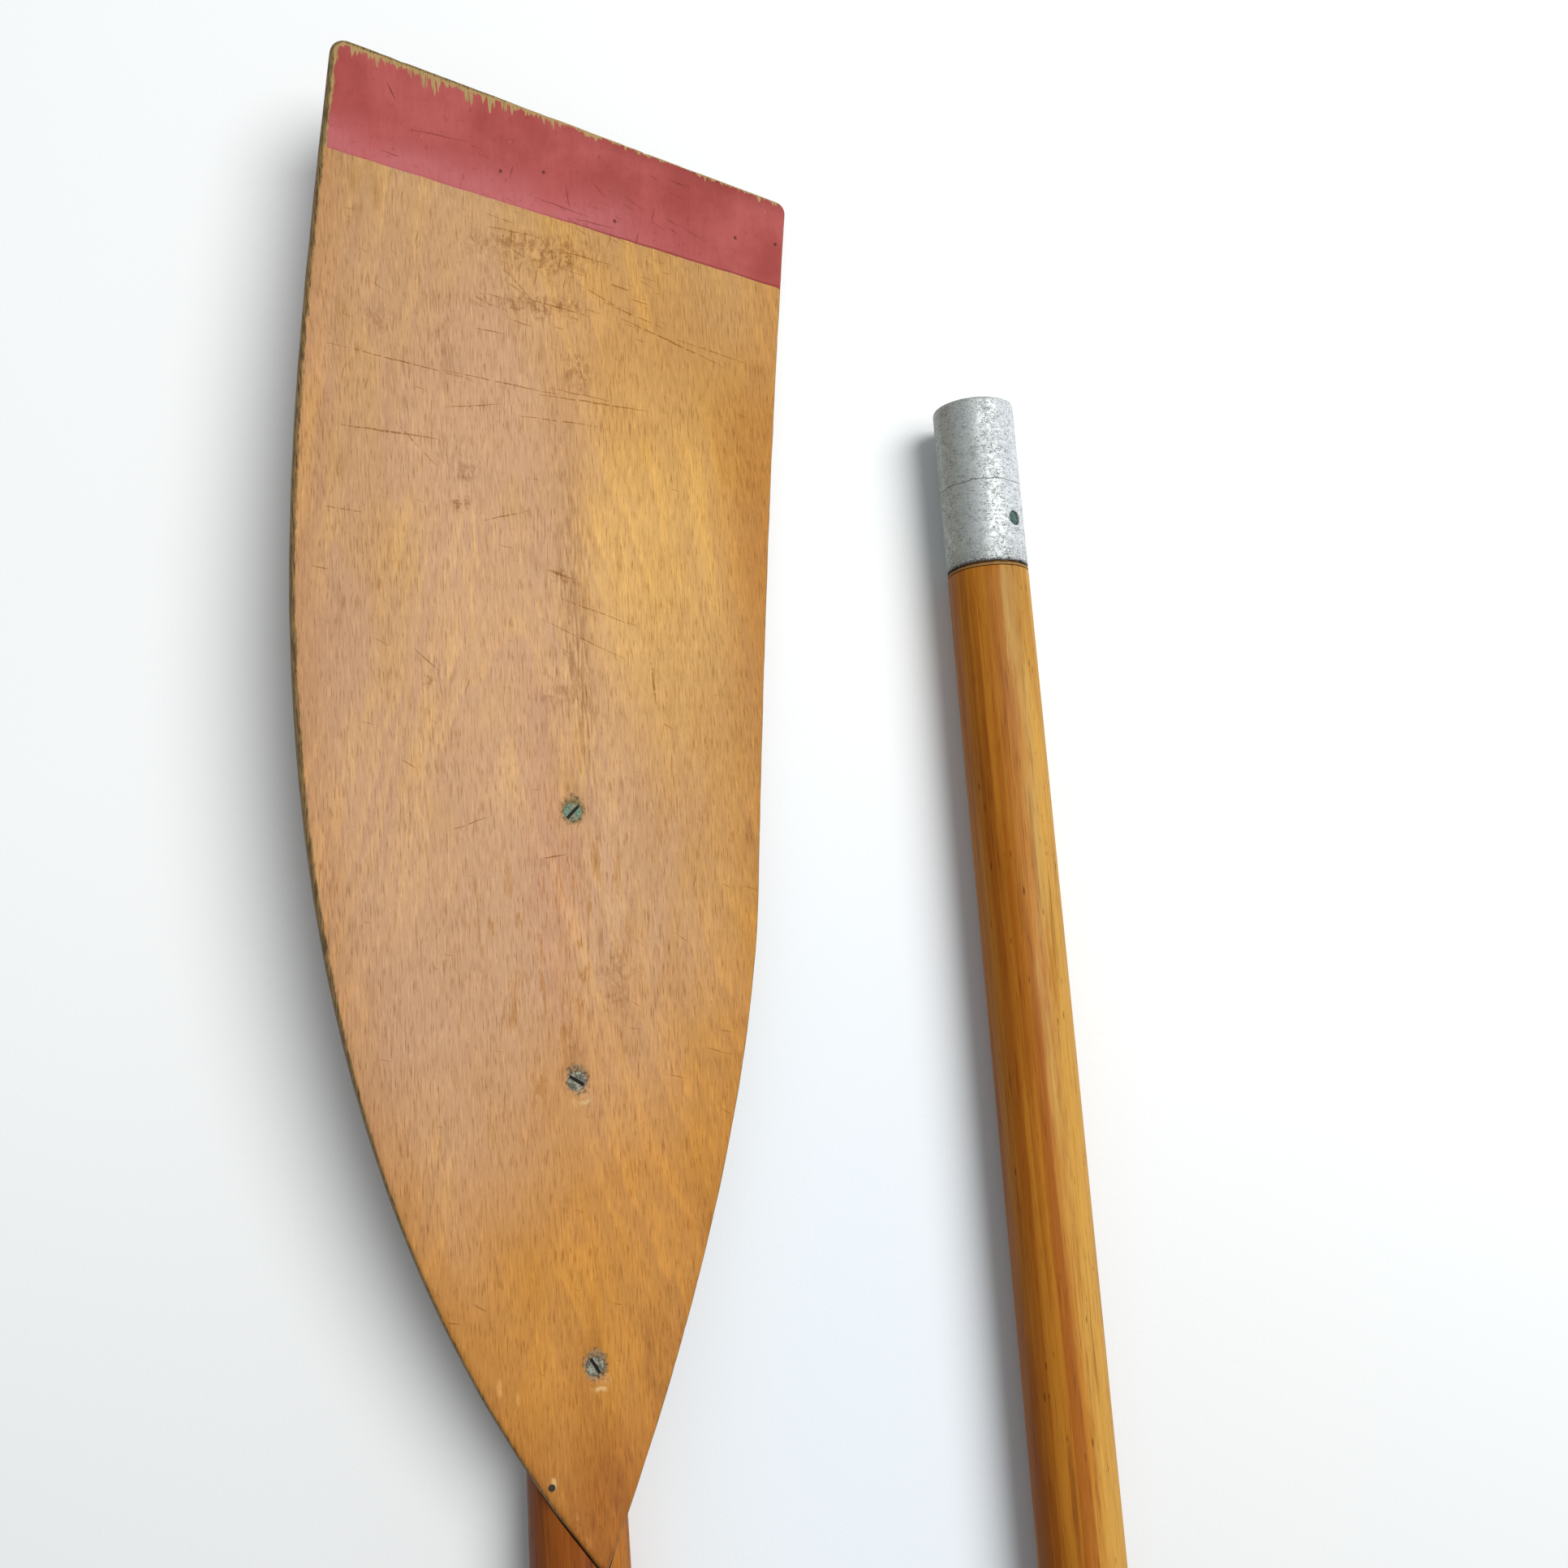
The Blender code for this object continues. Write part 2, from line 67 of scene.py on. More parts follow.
BLADE_PLACE = Matrix.Translation((AXIS_A.x, HEEL_Y, AXIS_A.z)) @ Matrix.Rotation(BLADE_ROLL, 4, "Y")
HANDLE_PLACE = Matrix.Translation((AXIS_B.x, TIP_B_Y, AXIS_B.z))
# The axes that each body's pieces and materials are drawn in
PLACES = {
    "blade_section": BLADE_PLACE,
    "handle_section": HANDLE_PLACE,
    "shoulder_bead": HANDLE_PLACE,
    "rowlock_sleeve": HANDLE_PLACE,
}

# Blade board, in its own frame: x across, y along from the heel, z up from the shaft's axis
FACE_HEIGHT = SHAFT_RADIUS
BOARD_THICKNESS = 0.006
PAINT_EDGE_START = 0.4815
PAINT_EDGE_SLOPE = -0.254
PLY_NAMES = tuple(f"blade_{ply}_ply" for ply in ("face", "upper_cross", "core", "lower_cross", "back"))
GLUE_LINE = 0.00003
HEEL = (0.006, 0)
RIGHT_SHOULDER = (0.0744, 0.22)
TIP_RIGHT = (0.1053, 0.4923)
TIP_LEFT = (-0.0653, 0.545)
LEFT_BULGE = (-0.0853, 0.32)
TIP_SLOPE = (TIP_LEFT[1] - TIP_RIGHT[1]) / (TIP_LEFT[0] - TIP_RIGHT[0])
RIGHT_CORNER = 0.004
LEFT_CORNER = 0.007
CORNER_FULLNESS = 0.45
# Handles of the four curves, and the way each edge leaves the tip
LOWER_RIGHT_BEND = ((0.036, 0.063), (0.0662, 0.145))
UPPER_RIGHT_BEND = ((0.0827, 0.31), (0.093, 0.402))
UPPER_LEFT_BEND = ((-0.0748, 0.467), (-0.0853, 0.39))
LOWER_LEFT_BEND = ((-0.0853, 0.2), (-0.062, 0.092))
RIGHT_EDGE_AT_TIP = (-0.137, -1)
LEFT_EDGE_AT_TIP = (-0.12, -1)
SIDE_STEPS = 60
CORNER_STEPS = 12
FACE_ROUNDING = 0.0028
FACE_ROUNDING_FULLNESS = 0.85
BACK_ROUNDING = 0.0016
POINT_SPACING = 0.0012
FACE_GRID = 0.0032
GRID_MARGIN = 0.004
HOLE_MARGIN = 0.0045
HOLE_STEPS = 40
HOLE_REACH = 0.005
# Insets of the extra rings of points near the edge, and the nearest that they may come to it
WEAR_RINGS = (0.0042, 0.0056, 0.0075)
WEAR_RING_CLEARANCE = 0.0039
# Most inset of the edge per metre from the pointed heel, so that the heel's two sides never cross
HEEL_ROOM = 0.45

SCREW_PLACES = ((0.0083, 0.254), (0.0048, 0.161), (0.006, 0.067))
SCREW_SLOT_ANGLES = (45, -35, -60)
SCREW_HEAD_RADIUS = 0.0032
SCREW_SHANK_HOLE = 0.002
SCREW_HEAD_CLEARANCE = 0.00035
SCREW_SUNK = 0.0003
COUNTERSINK_SLOPE = 0.62
SCREW_SLOT = (0.01, 0.0011, 0.0016)
# The left brad is seen; the right one is its pair
BRAD_PLACES = ((-0.0105, 0.031), (0.0105, 0.024))

SLEEVE_WALL = 0.0012
TENON_STEP = 0.0015
TUBE_RIM = 0.0007
PIN_DOME = 0.00035
PIN_CLEARANCE = 0.0003
ROWLOCK_GROOVES = 15
ROWLOCK_GROOVE_DEPTH = 0.00045
GRIP_RIBS = 18
GRIP_RIB_DEPTH = 0.0008
GRIP_DOME = 0.006

# Colours, linear
ROSY_BEECH = (0.405, 0.23, 0.126)
GOLDEN_BEECH = (0.41, 0.208, 0.058)
HEART_GOLD = (0.52, 0.3, 0.096)
OLIVE_BEECH = (0.37, 0.208, 0.086)
HONEY_BEECH = (0.39, 0.17, 0.034)
AMBER_BEECH = (0.235, 0.066, 0.007)
BORDER_BEECH = (0.35, 0.15, 0.034)
RUBBED_AND_LIT_TAN = (0.44, 0.272, 0.085)
HALO_DARK = (0.05, 0.038, 0.022)
HALO_OLIVE = (0.2, 0.16, 0.07)
HALO_GREY = (0.26, 0.19, 0.12)
CHIP_PINK = (0.5, 0.29, 0.13)
CHIP_CREAM = (0.56, 0.39, 0.18)
BARE_OLIVE = (0.33, 0.215, 0.085)
BARE_OLIVE_DARK = (0.18, 0.11, 0.04)
RIM_OLIVE = (0.2, 0.13, 0.048)
RIM_DARK = (0.06, 0.042, 0.018)
PAINT_DEEP = (0.272, 0.044, 0.037)
PAINT_ROSE = (0.355, 0.074, 0.068)
PAINT_CHALK_AND_SHEEN = (0.42, 0.115, 0.122)
PAINT_GRIME = (0.19, 0.028, 0.022)
PAINT_SCRATCHED = (0.12, 0.018, 0.018)
PAINT_SPECK = (0.06, 0.012, 0.01)
PAINT_LINE = (0.19, 0.018, 0.018)
SLOT_DIRT_AND_SHADE = (0.012, 0.01, 0.008)
VERDIGRIS = (0.09, 0.22, 0.16)
VERDIGRIS_BASE = (0.2, 0.19, 0.12)
DULL_BRASS = (0.33, 0.32, 0.25)
DULL_BRASS_DARK = (0.11, 0.11, 0.085)
# How a mark multiplies the wood's own colour
BROWNED = (0.58, 0.45, 0.32)
STREAKED = (0.58, 0.48, 0.36)
SCRATCHED = (0.58, 0.42, 0.18)
FLECKED = (0.62, 0.5, 0.38)
REDDENED = (0.9, 0.78, 0.85)
OCHRED = (0.8, 0.66, 0.35)
YELLOWED = (1.02, 1, 0.66)
BLEACHED = (1.5, 1.7, 2.4)

# Marks on the face, in the board's own frame
# start and end (across, along), width
SCRATCHES = (
    ((-0.067, 0.394), (-0.033, 0.39), 0.0006),
    ((-0.071, 0.4245), (-0.02, 0.413), 0.00034),
    ((-0.03, 0.416), (0.012, 0.4085), 0.00034),
    ((0.004, 0.4085), (0.046, 0.4035), 0.00042),
    ((0.008, 0.411), (0.03, 0.407), 0.0003),
    ((-0.004, 0.4), (0.026, 0.3968), 0.00034),
    ((-0.03, 0.402), (-0.01, 0.404), 0.0003),
    ((0.036, 0.44), (0.072, 0.424), 0.00048),
    ((0.03, 0.446), (0.052, 0.437), 0.00036),
    ((0.056, 0.433), (0.083, 0.425), 0.0003),
    ((-0.012, 0.473), (0.008, 0.47), 0.00036),
    ((0.012, 0.466), (0.034, 0.461), 0.00036),
    ((-0.008, 0.459), (0.004, 0.444), 0.0003),
    ((0, 0.446), (0.024, 0.44), 0.0004),
    ((0.02, 0.453), (0.036, 0.444), 0.0003),
    ((-0.072, 0.364), (-0.06, 0.362), 0.00042),
    ((-0.018, 0.36), (-0.002, 0.364), 0.00036),
    ((0.004, 0.342), (0.012, 0.339), 0.0008),
    ((0.006, 0.332), (0.036, 0.321), 0.00026),
    ((0, 0.324), (0.03, 0.309), 0.00022),
    ((-0.044, 0.313), (-0.036, 0.305), 0.0003),
    ((0.0395, 0.308), (0.0405, 0.292), 0.0006),
    ((-0.003, 0.238), (0.005, 0.239), 0.00042),
    ((-0.034, 0.249), (-0.022, 0.253), 0.0003),
    ((-0.046, 0.394), (-0.034, 0.38), 0.00028),
    ((0.018, 0.425), (0.021, 0.413), 0.0004),
    ((-0.018, 0.433), (-0.008, 0.431), 0.0003),
)
PAINT_SCRATCHES = (
    ((-0.039, 0.509), (-0.018, 0.506), 0.0004),
    ((-0.046, 0.527), (-0.043, 0.52), 0.0005),
    ((0.018, 0.493), (0.019, 0.483), 0.00036),
    ((0.006, 0.486), (0.026, 0.48), 0.00036),
    ((0.02, 0.479), (0.036, 0.476), 0.00036),
    ((0.028, 0.495), (0.033, 0.488), 0.0003),
    ((0.04, 0.49), (0.048, 0.484), 0.0003),
    ((0.052, 0.486), (0.05, 0.479), 0.00034),
    ((0.058, 0.498), (0.066, 0.495), 0.0005),
    ((0.06, 0.48), (0.072, 0.473), 0.00026),
)
# centre (across, along)
SPECKS = (
    (0.01, 0.4965),
    (-0.006, 0.4955),
    (0.036, 0.479),
    (0.083, 0.476),
    (0.099, 0.4745),
    (0.0795, 0.457),
)
# centre (across, along), half width, half length, noise limit, depth of colour
STREAKS = (
    ((0.0135, 0.322), 0.005, 0.06, 0.42, 0.75),
    ((0.006, 0.3), 0.006, 0.03, 0.5, 0.55),
    ((-0.03, 0.43), 0.006, 0.035, 0.5, 0.55),
    ((-0.045, 0.415), 0.005, 0.02, 0.5, 0.5),
    ((0.0065, 0.182), 0.006, 0.018, 0.48, 0.6),
    ((0.052, 0.3), 0.014, 0.06, 0.52, 0.45),
    ((-0.05, 0.25), 0.02, 0.09, 0.54, 0.35),
)
# centre (across, along), half width, half length, depth of colour
SMUDGES = (
    ((0.004, 0.466), 0.022, 0.005, 0.75),
    ((0.012, 0.46), 0.01, 0.005, 0.7),
    ((0.006, 0.443), 0.016, 0.004, 0.8),
    ((0.019, 0.418), 0.005, 0.007, 0.6),
    ((-0.026, 0.366), 0.003, 0.0028, 1),
    ((-0.024, 0.38), 0.004, 0.005, 0.55),
    ((-0.052, 0.433), 0.005, 0.005, 0.5),
    ((0.009, 0.34), 0.004, 0.0024, 0.8),
    ((-0.0395, 0.302), 0.0016, 0.0022, 0.9),
    ((0.006, 0.296), 0.006, 0.004, 0.5),
    ((0.02, 0.193), 0.006, 0.01, 0.45),
)
# centre (across, along), half width, half length
BLEACHED_SPOTS = (
    ((0.0125, 0.012), 0.0012, 0.004),
    ((0.0165, 0.0215), 0.0008, 0.0024),
    ((-0.003, 0.019), 0.0012, 0.003),
    ((0, 0.012), 0.0016, 0.0026),
    ((-0.02, 0.06), 0.0008, 0.0022),
    ((-0.026, 0.064), 0.001, 0.003),
)

# place along the loom from the metal end, angle round it, size
LOOM_KNOCKS = (
    (-0.331, 90, 0.003),
    (-0.331, 58, 0.0022),
    (-0.384, 74, 0.0028),
    (-0.24, 150, 0.002),
    (-0.119, 60, 0.0035),
)

# Camera, measured from the blade's heel, and the floor's half width
CAMERA_ACROSS = 0.067
CAMERA_ALONG = 0.176
CAMERA_HEIGHT = 0.5794
CAMERA_TURN = (math.radians(8.71), math.radians(-1.47), math.radians(-4.18))
SENSOR_WIDTH = 36
LENS = 36
FLOOR_HALF = 15
# One soft window light. It faces a point beside the blade's shaft, and lies at an offset from that point
LIT_ACROSS = 0.07
LIT_ALONG = 0.25
WINDOW_OFFSET = (1.5, 0.46, 2.6)
WINDOW_SIZE = 2.2
WINDOW_POWER = 106
SKY_STRENGTH = 0.38


# ---- node materials

class Value:
    """A node's output. Arithmetic on it adds math nodes."""

    def __init__(self, graph, socket):
        self.graph = graph
        self.socket = socket

    def __add__(self, other):
        return self.graph.math("ADD", self, other)

    def __radd__(self, other):
        return self.graph.math("ADD", other, self)

    def __sub__(self, other):
        return self.graph.math("SUBTRACT", self, other)

    def __rsub__(self, other):
        return self.graph.math("SUBTRACT", other, self)

    def __mul__(self, other):
        return self.graph.math("MULTIPLY", self, other)

    def __pow__(self, other):
        return self.graph.math("POWER", self, other)

    def __abs__(self):
        return self.graph.math("ABSOLUTE", self)

    def span(self, low, high, to_low=0, to_high=1):
        """Smooth step from to_low at low to to_high at high."""
        inputs = {"Value": self, "From Min": low, "From Max": high, "To Min": to_low, "To Max": to_high}
        return self.graph.node("MapRange", "Result", inputs, interpolation_type="SMOOTHSTEP")


class Graph:
    """One node material, drawn in the axes of a guide empty."""

    def __init__(self, name, guide):
        self.material = bpy.data.materials.new(name)
        self.material.use_nodes = True
        self.tree = self.material.node_tree
        self.tree.nodes.clear()
        self.place = self.node("TexCoord", "Object", {}, object=guide)
        self.wavy_place = None
        self.wrapped_place = None

    def node(self, kind, output, inputs, **settings):
        """Add a node with its settings and inputs, and return one of its outputs."""
        node = self.tree.nodes.new("ShaderNode" + kind)
        for name, setting in settings.items():
            setattr(node, name, setting)
        for key, value in inputs.items():
            if isinstance(value, Value):
                self.tree.links.new(value.socket, node.inputs[key])
            else:
                node.inputs[key].default_value = value
        return Value(self, node.outputs[output])

    def math(self, operation, a, b=0):
        return self.node("Math", 0, {0: a, 1: b}, operation=operation)

    def maximum(self, *values):
        result = values[0]
        for value in values[1:]:
            result = self.math("MAXIMUM", result, value)
        return result

    def vector(self, operation, a, b=(0, 0, 0)):
        output = "Value" if operation in ("DOT_PRODUCT", "LENGTH") else "Vector"
        return self.node("VectorMath", output, {0: a, 1: b}, operation=operation)

    def scale_vector(self, a, factor):
        return self.node("VectorMath", "Vector", {0: a, "Scale": factor}, operation="SCALE")

    def parts(self):
        return [self.node("SeparateXYZ", k, {0: self.place}) for k in range(3)]

    def joined(self, x, y, z):
        return self.node("CombineXYZ", 0, {0: x, 1: y, 2: z})

    def stretched(self, place, scales, shift=(0, 0, 0)):
        return self.vector("ADD", self.vector("MULTIPLY", place, scales), shift)

    def wrapped(self, round_scale, long_scale, shift=(0, 0, 0)):
        """A field that wraps a round shaft: as stretched, with x and z on a unit circle."""
        if self.wrapped_place is None:
            x, y, z = self.parts()
            angle = self.math("ARCTAN2", z, x)
            self.wrapped_place = self.joined(self.math("COSINE", angle), self.math("SINE", angle), y)
        return self.stretched(self.wrapped_place, (round_scale, round_scale, long_scale), shift)

    def noise(self, field, detail=2, roughness=0.5, distortion=0, shift=(0, 0, 0)):
        """Noise over a field, or over the place stretched (across, along, up) and shifted."""
        if isinstance(field, tuple):
            field = self.stretched(self.place, field, shift)
        inputs = {"Vector": field, "Scale": 1, "Detail": detail}
        inputs |= {"Roughness": roughness, "Distortion": distortion}
        return self.node("TexNoise", "Fac", inputs)

    def cells(self, field):
        return self.node("TexVoronoi", "Distance", {"Vector": field, "Scale": 1})

    def mix(self, factor, a, b):
        a, b = [colour if isinstance(colour, Value) else (*colour, 1) for colour in (a, b)]
        return self.node("Mix", 2, {0: factor, 6: a, 7: b}, data_type="RGBA")

    def tint(self, factor, colour, gain):
        """The colour multiplied by gain where factor is 1."""
        return self.mix(factor, colour, self.vector("MULTIPLY", colour, gain))

    def attribute(self, name):
        return self.node("Attribute", "Fac", {}, attribute_name=name)

    def bump(self, height, distance, normal=None, strength=1):
        inputs = {"Height": height, "Distance": distance, "Strength": strength}
        if normal is not None:
            inputs["Normal"] = normal
        return self.node("Bump", "Normal", inputs)

    def wavy(self):
        """The place with a small sideways wander, so that marks aren't ruler-straight."""
        if self.wavy_place is None:
            wander = self.noise((110, 110, 0), 2, 0.6)
            flat = self.vector("MULTIPLY", self.place, (1, 1, 0))
            self.wavy_place = self.vector("ADD", flat, self.joined(0, (wander - 0.5) * 0.0012, 0))
        return self.wavy_place

    def line_mark(self, start, end, width):
        """1 on the segment from start to end, fading to 0 at width from it."""
        origin = Vector((*start, 0))
        run = Vector((*end, 0)) - origin
        offset = self.vector("SUBTRACT", self.wavy(), tuple(origin))
        along = self.vector("DOT_PRODUCT", offset, tuple(run / run.length_squared))
        held = self.math("MINIMUM", self.maximum(along, 0), 1)
        nearest = self.scale_vector(tuple(run), held)
        distance = self.vector("LENGTH", self.vector("SUBTRACT", offset, nearest))
        thinned = distance + abs(held - 0.5) * 1.2 * (width * 0.8)
        return thinned.span(width, width * 0.25)

    def spot(self, centre, half_x, half_y, soft=0.5, shift=None):
        """1 inside an ellipse round centre, fading to 0 outside it."""
        offset = self.vector("SUBTRACT", self.place, (*centre, 0))
        flat = self.vector("MULTIPLY", offset, (1 / half_x, 1 / half_y, 0))
        distance = self.vector("LENGTH", flat)
        if shift is not None:
            distance = distance + shift
        return distance.span(1 + soft, 1 - soft)

    def surface(self, colour, roughness, normal, metallic=0, specular=0.5):
        inputs = {"Base Color": colour, "Roughness": roughness, "Normal": normal}
        inputs |= {"Metallic": metallic, "Specular IOR Level": specular}
        shader = self.node("BsdfPrincipled", 0, inputs)
        output = self.tree.nodes.new("ShaderNodeOutputMaterial")
        self.tree.links.new(shader.socket, output.inputs[0])
        return self.material


def beech_base(graph):
    """Rotary-cut beech: rosy on the left, golden on the right, browner at the heel."""
    x, y, _ = graph.parts()
    wander = graph.noise((16, 7, 0), 3, 0.55, 0.8) - 0.5
    fine_wander = graph.noise((60, 14, 0), 3, 0.6, shift=(3, 1, 0)) - 0.5
    side = x + wander * 0.09 + fine_wander * 0.025
    lean = (y - 0.3) * 0.12
    golden = (side + lean).span(0.004, 0.058)
    colour = graph.mix(golden, ROSY_BEECH, GOLDEN_BEECH)
    heart = graph.spot((0.045, 0.345), 0.028, 0.06, 0.55, wander * 1.3)
    colour = graph.mix(heart * 0.6, colour, HEART_GOLD)
    ember = graph.spot((0.086, 0.35), 0.015, 0.075, 0.7, wander * 1.2)
    colour = graph.tint(ember * 0.7, colour, (0.84, 0.7, 0.5))
    top = (y + wander * 0.08).span(0.4, 0.5)
    colour = graph.mix(top * 0.55, colour, OLIVE_BEECH)
    heelward = y - (wander * 0.12 + x * 0.55)
    colour = graph.mix(heelward.span(0.215, 0.095), colour, HONEY_BEECH)
    colour = graph.mix(heelward.span(0.085, 0), colour, AMBER_BEECH)
    # A paler middle: partly lighter wood, partly painted light for the way the rolled blade is lit
    middle = graph.spot((-0.006, 0.295), 0.045, 0.21, 0.6, wander)
    colour = graph.tint(middle * 0.6, colour, (1.15, 1.18, 1.18))
    yellow = graph.noise((26, 9, 0), 3, 0.6, shift=(7, 2, 0)).span(0.52, 0.66)
    colour = graph.tint(yellow * 0.5, colour, YELLOWED)
    border = graph.attribute("edge").span(0.018, 0.001)
    return graph.mix(border * 0.35, colour, BORDER_BEECH)


def arcs(graph):
    """The faint nested arches that the peeled veneer shows."""
    x, y, _ = graph.parts()
    from_middle = abs(x + 0.012)
    bend = from_middle ** 1.35 * 9
    warp = graph.noise((22, 7, 0), 3, 0.55, shift=(9, 4, 0)) - 0.5
    height = y + bend + warp * 0.16
    fine_warp = graph.noise((240, 30, 0), 3, 0.65, shift=(4, 4, 0))
    height = height + (fine_warp - 0.5) * 0.02
    field = graph.noise(graph.joined(height * 24, 0, 3), 3, 0.6)
    patch = graph.noise((20, 9, 0), 2, shift=(2, 6, 0)).span(0.38, 0.58)
    sweep = graph.math("FRACT", height * 9)
    crest = sweep.span(0, 0.05) * sweep.span(0.55, 0.05) * fine_warp.span(0.4, 0.56)
    return graph.maximum(field.span(0.42, 0.64), crest) * patch


def scratch_marks(graph):
    """Listed scratches and knocks on the blade's face, and many small random ones."""
    drawn = graph.maximum(*[graph.line_mark(*mark) for mark in SCRATCHES])
    hand = drawn * graph.noise((500, 500, 0), 2).span(0.34, 0.52)
    looser = graph.spot((0.024, 0.464), 0.05, 0.034, 0.6) * 0.055
    hairs = []
    for angle, seed in ((-16, 1), (-34, 5), (74, 9)):
        turn = math.radians(angle)
        across = graph.vector("DOT_PRODUCT", graph.place, (-math.sin(turn), math.cos(turn), 0))
        along = graph.vector("DOT_PRODUCT", graph.place, (math.cos(turn), math.sin(turn), 0))
        field = graph.joined(along * 70, across * 950, seed)
        streak = (graph.noise(field, 2, 0.5) + looser).span(0.7, 0.75)
        patch_field = graph.noise((45, 45, 0), 1, shift=(seed, 0, 0))
        patch = (patch_field + looser).span(0.5, 0.62)
        hairs.append(streak * patch)
    return hand, graph.maximum(*hairs)


def flecks(graph):
    """Grain along the board: a slow light and dark field, and short dark dashes."""
    grain = graph.noise((1500, 120, 0), 3, 0.62, 0.2)
    dashes = graph.noise((2100, 150, 0), 2, 0.55, shift=(2, 7, 0))
    dense = graph.noise((70, 24, 0), 2, shift=(1, 3, 0))
    lifted = dashes + (dense - 0.5) * 0.2
    return grain, lifted.span(0.56, 0.68)


def grained(graph, wood, grain, fleck):
    wood = graph.tint(arcs(graph), wood, (1.2, 1.21, 1.03))
    wood = graph.tint(grain.span(0.5, 0.68), wood, (1.17, 1.17, 1.14))
    wood = graph.tint(grain.span(0.48, 0.32), wood, (0.87, 0.82, 0.75))
    return graph.tint(fleck * 0.6, wood, FLECKED)


def blade_face_material(guide):
    graph = Graph("blade_face_beech_and_paint", guide)
    hand, hairs = scratch_marks(graph)
    grain, fleck = flecks(graph)

    wood = grained(graph, beech_base(graph), grain, fleck)
    wood = add_stains(graph, wood)
    wood = graph.tint(hand * 0.95, wood, SCRATCHED)
    wood = graph.tint(hairs * 0.75, wood, SCRATCHED)
    wood = add_screw_marks(graph, wood)

    paint, painted, bare = tip_paint(graph, hairs)
    colour = graph.mix(painted, wood, paint)
    colour = graph.mix(bare, colour, graph.mix(fleck, BARE_OLIVE, BARE_OLIVE_DARK))
    # The dark rim: weathered wood on the left, painted shade on the right ply edge
    rim = rim_wear_and_shade(graph)
    colour = graph.mix(rim, colour, graph.mix(grain.span(0.4, 0.56), RIM_DARK, RIM_OLIVE))

    height = fleck * -0.3 - hand - hairs * 0.6 + painted * 0.5 - bare * 0.5
    ripple = graph.noise((60, 25, 0), 3)
    normal = graph.bump(height, 0.00012, None, 0.8)
    normal = graph.bump(ripple, 0.0003, normal, 0.5)
    sheen = graph.noise((40, 12, 0), 3, 0.6).span(0.35, 0.65, 0.5, 0.64)
    roughness = sheen + fleck * 0.12
    return graph.surface(colour, roughness, normal, specular=0.14)


def add_stains(graph, wood):
    """Broken dark streaks beside the middle, brown smudges under the paint and smaller spots."""
    smear = graph.noise((90, 22, 0), 3, 0.65, shift=(5, 5, 0))
    wood = graph.tint(smear.span(0.56, 0.8, 0, 0.55), wood, BROWNED)
    broken = graph.noise((1100, 80, 0), 4, 0.7, shift=(3, 8, 0))
    ragged = (smear - 0.5) * 2.4
    for centre, half_x, half_y, limit, depth in STREAKS:
        area = graph.spot(centre, half_x, half_y, 0.75, ragged)
        wood = graph.tint(area * broken.span(limit, limit + 0.14) * depth, wood, STREAKED)
    torn = graph.noise((260, 150, 0), 4, 0.75, shift=(6, 1, 0))
    jagged = (torn - 0.5) * 3
    clots = graph.noise((420, 260, 0), 4, 0.75, shift=(6, 1, 0))
    for centre, half_x, half_y, depth in SMUDGES:
        area = graph.spot(centre, half_x, half_y, 0.6, jagged)
        wood = graph.tint(area * clots.span(0.44, 0.58) * depth, wood, BROWNED)
    red_glow = graph.spot((0.001, 0.235), 0.01, 0.045, 0.8, ragged)
    wood = graph.tint(red_glow * 0.6, wood, REDDENED)
    lines = graph.spot((0.002, 0.205), 0.032, 0.04, 0.7, ragged)
    ochre = graph.noise((260, 34, 0), 4, 0.7, 1.5, shift=(4, 9, 0)).span(0.54, 0.62)
    return graph.tint(lines * ochre * 0.9, wood, OCHRED)


def add_screw_marks(graph, wood):
    """Weathered halos round the screws, and ragged pale places where the face ply has broken out."""
    fine = graph.noise((900, 620, 0), 3, 0.7)
    coarse = graph.noise((330, 240, 0), 3, 0.6)
    ragged = (coarse - 0.5) * 1.6
    jagged = (fine - 0.5) * 1.2
    for i, (across, along) in enumerate(SCREW_PLACES):
        halo = graph.spot((across, along + 0.0006), 0.004, 0.0052, 0.18, jagged)
        tone = graph.mix(fine.span(0.38, 0.54), HALO_DARK, HALO_OLIVE if i == 0 else HALO_GREY)
        wood = graph.mix(halo * 0.8, wood, tone)
        plume = graph.spot((across - 0.0004, along + 0.0075), 0.0024, 0.0055, 0.7, ragged)
        wood = graph.tint(plume * 0.35, wood, STREAKED)
        if i > 0:
            chip = graph.spot((across + 0.0032, along - 0.0046), 0.0022, 0.0026, 0.25, jagged)
            pale = chip * fine.span(0.42, 0.58) * 0.45
            wood = graph.mix(pale, wood, CHIP_PINK)
            crescent = graph.spot((across + 0.0014, along - 0.0062), 0.0034, 0.002, 0.3, ragged)
            inner = graph.spot((across + 0.001, along - 0.005), 0.0036, 0.002, 0.3, ragged)
            crescent = crescent * (1 - inner)
            wood = graph.mix(crescent * coarse.span(0.36, 0.56) * 0.8, wood, CHIP_CREAM)
    across, along = BRAD_PLACES[0]
    chip = graph.spot((across + 0.0008, along + 0.0013), 0.0008, 0.0018, 0.35, jagged)
    wood = graph.mix(chip * 0.65, wood, CHIP_CREAM)
    for centre, half_x, half_y in BLEACHED_SPOTS:
        area = graph.spot(centre, half_x, half_y, 0.5, ragged)
        wood = graph.tint(area * coarse.span(0.4, 0.56) * 0.6, wood, BLEACHED)
    across, along = BRAD_PLACES[1]
    bruise = graph.spot((across, along), 0.0018, 0.002, 0.5, jagged)
    return graph.tint(bruise * 0.25, wood, BROWNED)


